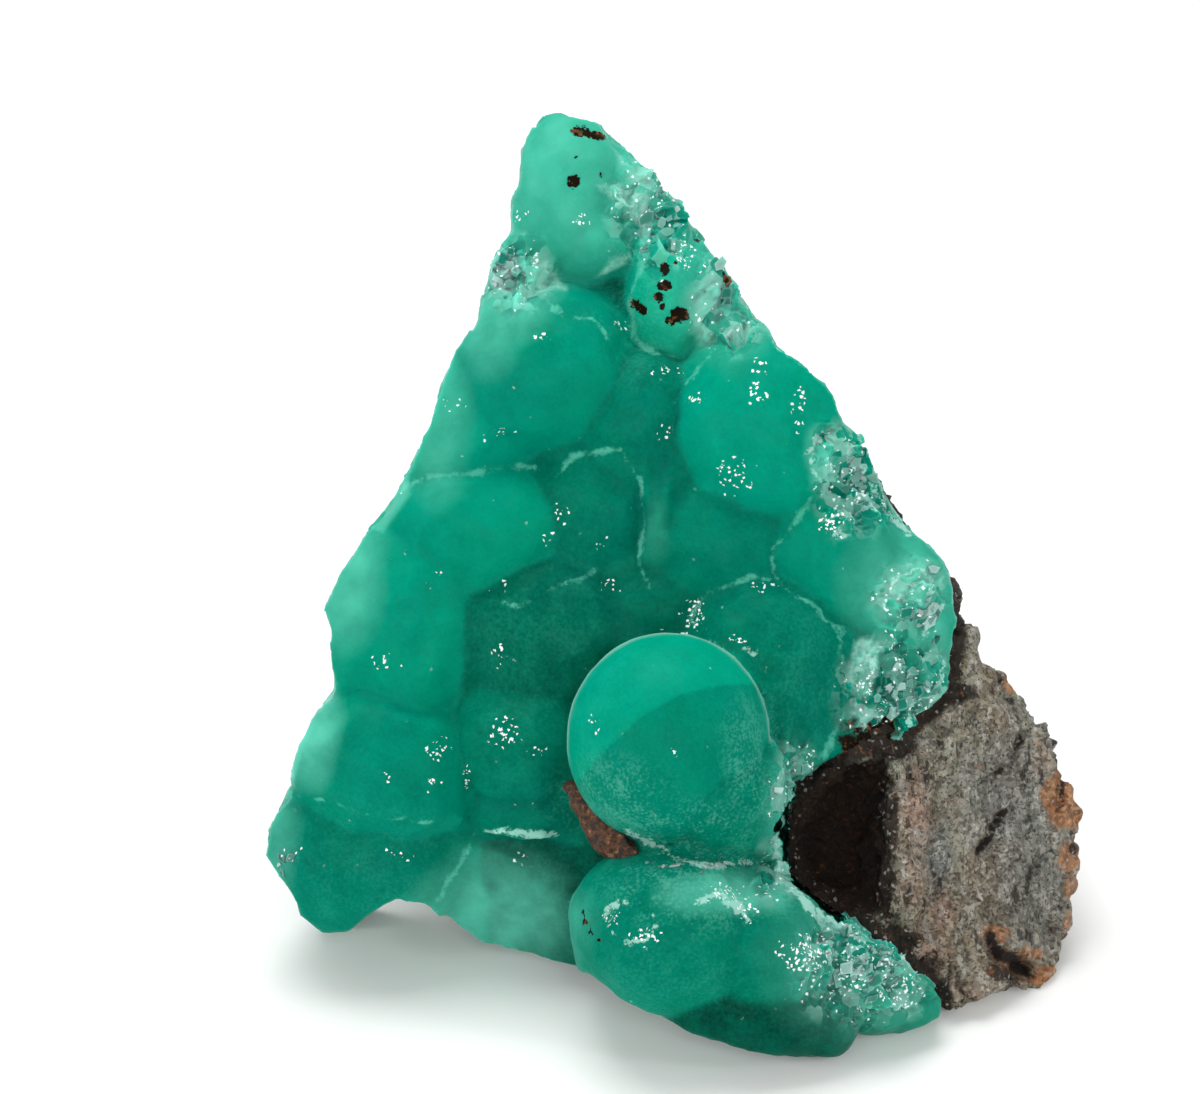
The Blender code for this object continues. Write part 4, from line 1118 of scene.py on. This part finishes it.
# %% [markdown]
# The matrix is a dull grey rock of pale and dark grains, stained brown by iron along its edges and
# black against the crust. The hollow is lined with dark brown limonite.

# %% The rock finish
ROCK_GREY = (0.30, 0.292, 0.228, 1.0)
ROCK_BROWN = (0.26, 0.215, 0.150, 1.0)
ROCK_SLATE = (0.19, 0.20, 0.19, 1.0)
ROCK_PALE = (0.46, 0.44, 0.39, 1.0)
ROCK_DARK = (0.022, 0.019, 0.016, 1.0)
ROCK_PINK = (0.40, 0.27, 0.20, 1.0)
RUST = (0.40, 0.165, 0.060, 1.0)
TAN = (0.50, 0.26, 0.13, 1.0)
RIND_BROWN = (0.016, 0.010, 0.007, 1.0)
VUG_BROWN = (0.030, 0.015, 0.008, 1.0)

RUST_SPOTS = (
    (26.4, 13.3, 1.6, 2.0, 1.2), (26.6, 9.4, 1.0, 1.2, 0.8), (26.8, 7.2, 0.6, 1.0, 1.0),
    (26.6, 4.4, 0.6, 1.6, 0.7), (25.0, 1.4, 1.4, 0.8, 1.0), (22.9, 21.0, 1.0, 0.7, 0.8),
    (21.4, 4.4, 1.2, 0.7, 0.8), (23.6, 3.0, 1.2, 0.6, 0.7), (26.2, 17.6, 0.6, 0.9, 0.5), (15.6, 18.0, 1.0, 0.6, 0.6),
    (17.2, 7.0, 0.6, 0.9, 0.4),
)
DARK_SPOTS = (
    (17.6, 20.4, 2.8, 0.9, 1.0), (14.6, 17.4, 1.4, 1.6, 1.0), (14.6, 4.2, 1.6, 1.2, 0.9),
    (19.8, 3.2, 0.9, 1.3, 0.5), (22.4, 2.2, 1.7, 1.1, 0.9), (16.8, 2.4, 1.6, 0.9, 0.7), (13.8, 34.0, 3.0, 6.0, 0.9),
    (18.6, 24.0, 0.9, 4.0, 0.9), (14.1, 13.0, 0.8, 3.0, 0.9), (13.8, 8.0, 0.9, 3.0, 0.9),
    (26.9, 9.9, 0.4, 0.5, 0.9), (25.2, 10.6, 0.4, 0.6, 0.6), (24.6, 19.4, 0.5, 1.2, 0.5),
)
PINK_SPOTS = (
    (16.0, 12.8, 0.9, 2.4, 1.0), (15.6, 8.0, 0.9, 1.6, 0.6), (17.8, 6.0, 0.8, 1.0, 1.0),
    (16.6, 3.4, 1.4, 1.4, 0.8), (24.8, 15.6, 0.7, 1.0, 0.5), (19.6, 0.8, 1.6, 0.7, 0.5),
)
SLATE_SPOTS = ((22.8, 13.4, 3.0, 3.6, 0.8), (24.0, 8.0, 2.6, 4.0, 0.7), (17.4, 9.6, 0.9, 1.8, 1.0))
VUG_SPOTS = ((10.6, 11.2, 3.8, 5.8, 1.0),)

places = coordinates(rock)
inside = np.clip((3.6 - places[:, 2]) / 1.0, 0.0, 1.0) * (places[:, 0] < 14.6)
seen = step_up(places[:, 2], -12.0, -7.0)
for name, values in (
    ("rust", soft_spots(places, RUST_SPOTS)), ("dark", soft_spots(places, DARK_SPOTS) * seen),
    ("pink", soft_spots(places, PINK_SPOTS)), ("slate", soft_spots(places, SLATE_SPOTS)),
    ("vug", soft_spots(places, VUG_SPOTS) * inside),
    ("crack", lines_on(places, ROCK_CRACKS) * seen), ("pit", lines_on(places, (ROCK_PIT,)) * seen),
):
    store_mask(rock, name, values)


def rock_colour(made, place):
    grains = made.lottery(made.cells(place, 3.4))
    salt = made.lottery(made.cells(made.shifted(place, 5.0), 5.0))
    fine = made.noise(place, 3.0, 5.0, 0.75)
    crumb = made.noise(made.shifted(place, 2.0), 5.0, 3.0, 0.6)
    stain = made.noise(place, 0.6, 6.0, 0.7)
    broad = made.noise(made.shifted(place, 9.0), 0.22, 4.0, 0.6)
    streak = made.noise(made.vector("MULTIPLY", place, (1.0, 0.35, 0.35)), 1.5, 5.0, 0.65)

    colour = made.blend(made.smooth(broad, 0.42, 0.62), ROCK_GREY, ROCK_BROWN)
    colour = made.blend((made.mask("slate") * (stain + 0.35)).clamp(), colour, ROCK_SLATE)
    colour = made.blend((made.mask("pink") * (stain + 0.4)).clamp(), colour, ROCK_PINK)
    colour = made.blend(made.smooth(streak, 0.55, 0.59) * 0.7, colour, ROCK_PALE)
    colour = made.blend(made.smooth(streak, 0.43, 0.37) * 0.8, colour, ROCK_DARK)
    ragged = (stain - 0.5) * 1.6 + (fine - 0.5) * 0.8
    rust = made.smooth(made.mask("rust") + ragged, 0.45, 0.75)
    rusty = made.blend(made.smooth(stain, 0.46, 0.56), RUST, TAN)
    colour = made.blend(rust * 0.9, colour, rusty)
    colour = made.blend(1.0, colour, grains * 1.0 + 0.5, "MULTIPLY")
    colour = made.blend(made.smooth(salt, 0.92, 0.94) * 0.7, colour, ROCK_PALE)
    dirt = made.smooth(crumb, 0.57, 0.62) * (0.85 - rust * 0.5)
    colour = made.blend(dirt, colour, ROCK_DARK)

    crumbs = made.smooth(fine, 0.54, 0.70) * made.smooth(broad, 0.40, 0.60)
    lining = made.blend(crumbs * 0.7, VUG_BROWN, RUST)
    lining = made.blend(made.smooth(grains, 0.25, 0.80), RIND_BROWN, lining)
    colour = made.blend(made.smooth(made.mask("vug"), 0.15, 0.55), colour, lining)
    rind = made.smooth(made.mask("rind") + stain * 0.5, 0.62, 0.86)
    dark = made.smooth(made.mask("dark") + ragged, 0.50, 0.80).larger(rind)
    black = made.blend(made.smooth(fine, 0.56, 0.70) * 0.6, RIND_BROWN, RUST)
    black = made.blend(made.smooth(salt, 0.95, 0.97) * 0.8, black, ROCK_PALE)
    colour = made.blend(dark * 0.95, colour, black)
    pit = made.mask("pit") + ragged * 0.9
    halo = made.smooth(pit, 0.10, 0.50) * made.smooth(fine, 0.44, 0.56)
    colour = made.blend(halo * 0.8, colour, RUST)
    colour = made.blend(made.smooth(pit, 0.30, 0.70), colour, RIND_BROWN)
    crack = made.smooth(made.mask("crack") + (fine - 0.5) * 0.5, 0.68, 0.78)
    return made.blend(crack * 0.95, colour, RIND_BROWN)


def rock_finish():
    made = Finish("matrix_rock")
    place = made.millimetres()
    height = made.noise(place, 1.8, 7.0, 0.75) + made.cells(place, 3.4) * 0.35
    bump = made.add(
        "ShaderNodeBump", None, {"Height": height, "Strength": 1.0, "Distance": 0.5 * MM}
    )
    values = {
        "Base Color": rock_colour(made, place),
        "Roughness": 0.55,
        "Specular IOR Level": 0.35,
        "Normal": bump,
    }
    made.surface(made.add("ShaderNodeBsdfPrincipled", None, values))
    return made.material


rock.data.materials.clear()
rock.data.materials.append(rock_finish())
rock.data.shade_smooth()

# %% [markdown]
# Under the ball a thin plate of limonite shows, dark brown and earthy.

# %% The limonite plate
BLADE_FRONT = (
    (-7.5, 14.4, 6.6), (-6.2, 14.8, 6.8), (-2.6, 10.2, 9.6), (-3.2, 8.8, 9.2), (-5.4, 10.6, 8.0),
)
BLADE_DEPTH = 5.5
bm = bmesh.new()
corners = [on_face(*c) for c in BLADE_FRONT]
corners += [on_face(a + 0.6, u + 0.2, o - BLADE_DEPTH) for a, u, o in BLADE_FRONT]
add_hull(bm, corners)
blade = new_object("limonite_plate", bm)
roughen(blade, 0.2, ("blade_crumbs", 1.2, 0.7), ("blade_grains", 0.5, 0.3))


def limonite_finish():
    made = Finish("limonite")
    place = made.millimetres()
    grains = made.noise(place, 2.2, 5.0, 0.7)
    colour = made.blend(made.smooth(grains, 0.38, 0.66), RIND_BROWN, SPECK_BROWN)
    colour = made.blend(made.smooth(grains, 0.58, 0.70) * 0.5, colour, TAN)
    bump = made.add(
        "ShaderNodeBump", None, {"Height": grains, "Strength": 0.8, "Distance": 0.3 * MM}
    )
    values = {"Base Color": colour, "Roughness": 0.75, "Normal": bump}
    made.surface(made.add("ShaderNodeBsdfPrincipled", None, values))
    return made.material


blade.data.materials.append(limonite_finish())
blade.data.shade_smooth()

# %% [markdown]
# A wide pale floor, one large soft lamp overhead, one in front and a bright sky give the calm light
# of a light table. Three small lamps are there only for the sparkle.

# %% Floor and light
PAPER = (0.84, 0.85, 0.84, 1.0)

bm = bmesh.new()
bmesh.ops.create_grid(bm, x_segments=1, y_segments=1, size=3000.0)
floor = new_object("floor", bm)
paper = Finish("floor_paper")
glow = {"Emission Color": PAPER, "Emission Strength": 0.08}
paper.surface(
    paper.add("ShaderNodeBsdfPrincipled", None, {"Base Color": PAPER, "Roughness": 0.9} | glow)
)
floor.data.materials.append(paper.material)


def soft_lamp(name, place, size, watts):
    lamp = bpy.data.lights.new(name, "AREA")
    lamp.shape = "RECTANGLE"
    lamp.size, lamp.size_y = size[0] * MM, size[1] * MM
    lamp.energy = watts
    shown = bpy.data.objects.new(name, lamp)
    bpy.context.scene.collection.objects.link(shown)
    shown.location = Vector(place) * MM
    shown.rotation_mode = "QUATERNION"
    shown.rotation_quaternion = (LAMP_TARGET - Vector(place)).to_track_quat("-Z", "Y")


LAMP_TARGET = Vector((0.0, 0.0, 22.0))
soft_lamp("overhead", (-60, 120, 500), (380, 380), 2.0)
soft_lamp("front", (-40, -520, 240), (560, 260), 1.2)
soft_lamp("spark_left", (-400, -240, 220), (80, 80), 0.5)
soft_lamp("spark_right", (380, -260, 240), (80, 80), 0.4)
soft_lamp("spark_front", (40, -460, 300), (60, 60), 0.25)

world = bpy.data.worlds.new("studio")
world.use_nodes = True
world.node_tree.nodes["Background"].inputs["Color"].default_value = (1.0, 1.0, 1.0, 1.0)
world.node_tree.nodes["Background"].inputs["Strength"].default_value = 0.46
bpy.context.scene.world = world
bpy.context.scene.view_settings.view_transform = "Standard"

# %% [markdown]
# Each finer piece stands for one imported solid and rides on the one body of the model.

# %% Pieces and bodies
for piece, node, slot in (
    (crust, "smithsonite_crust", "teal_smithsonite"),
    (rock, "matrix_rock", "grey_rock"),
    (blade, "limonite_blade", "limonite"),
):
    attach(piece, "root")
    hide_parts(node)
    triangles = sum(len(face.vertices) - 2 for face in piece.data.polygons)
    print(piece.name, "triangles:", triangles)
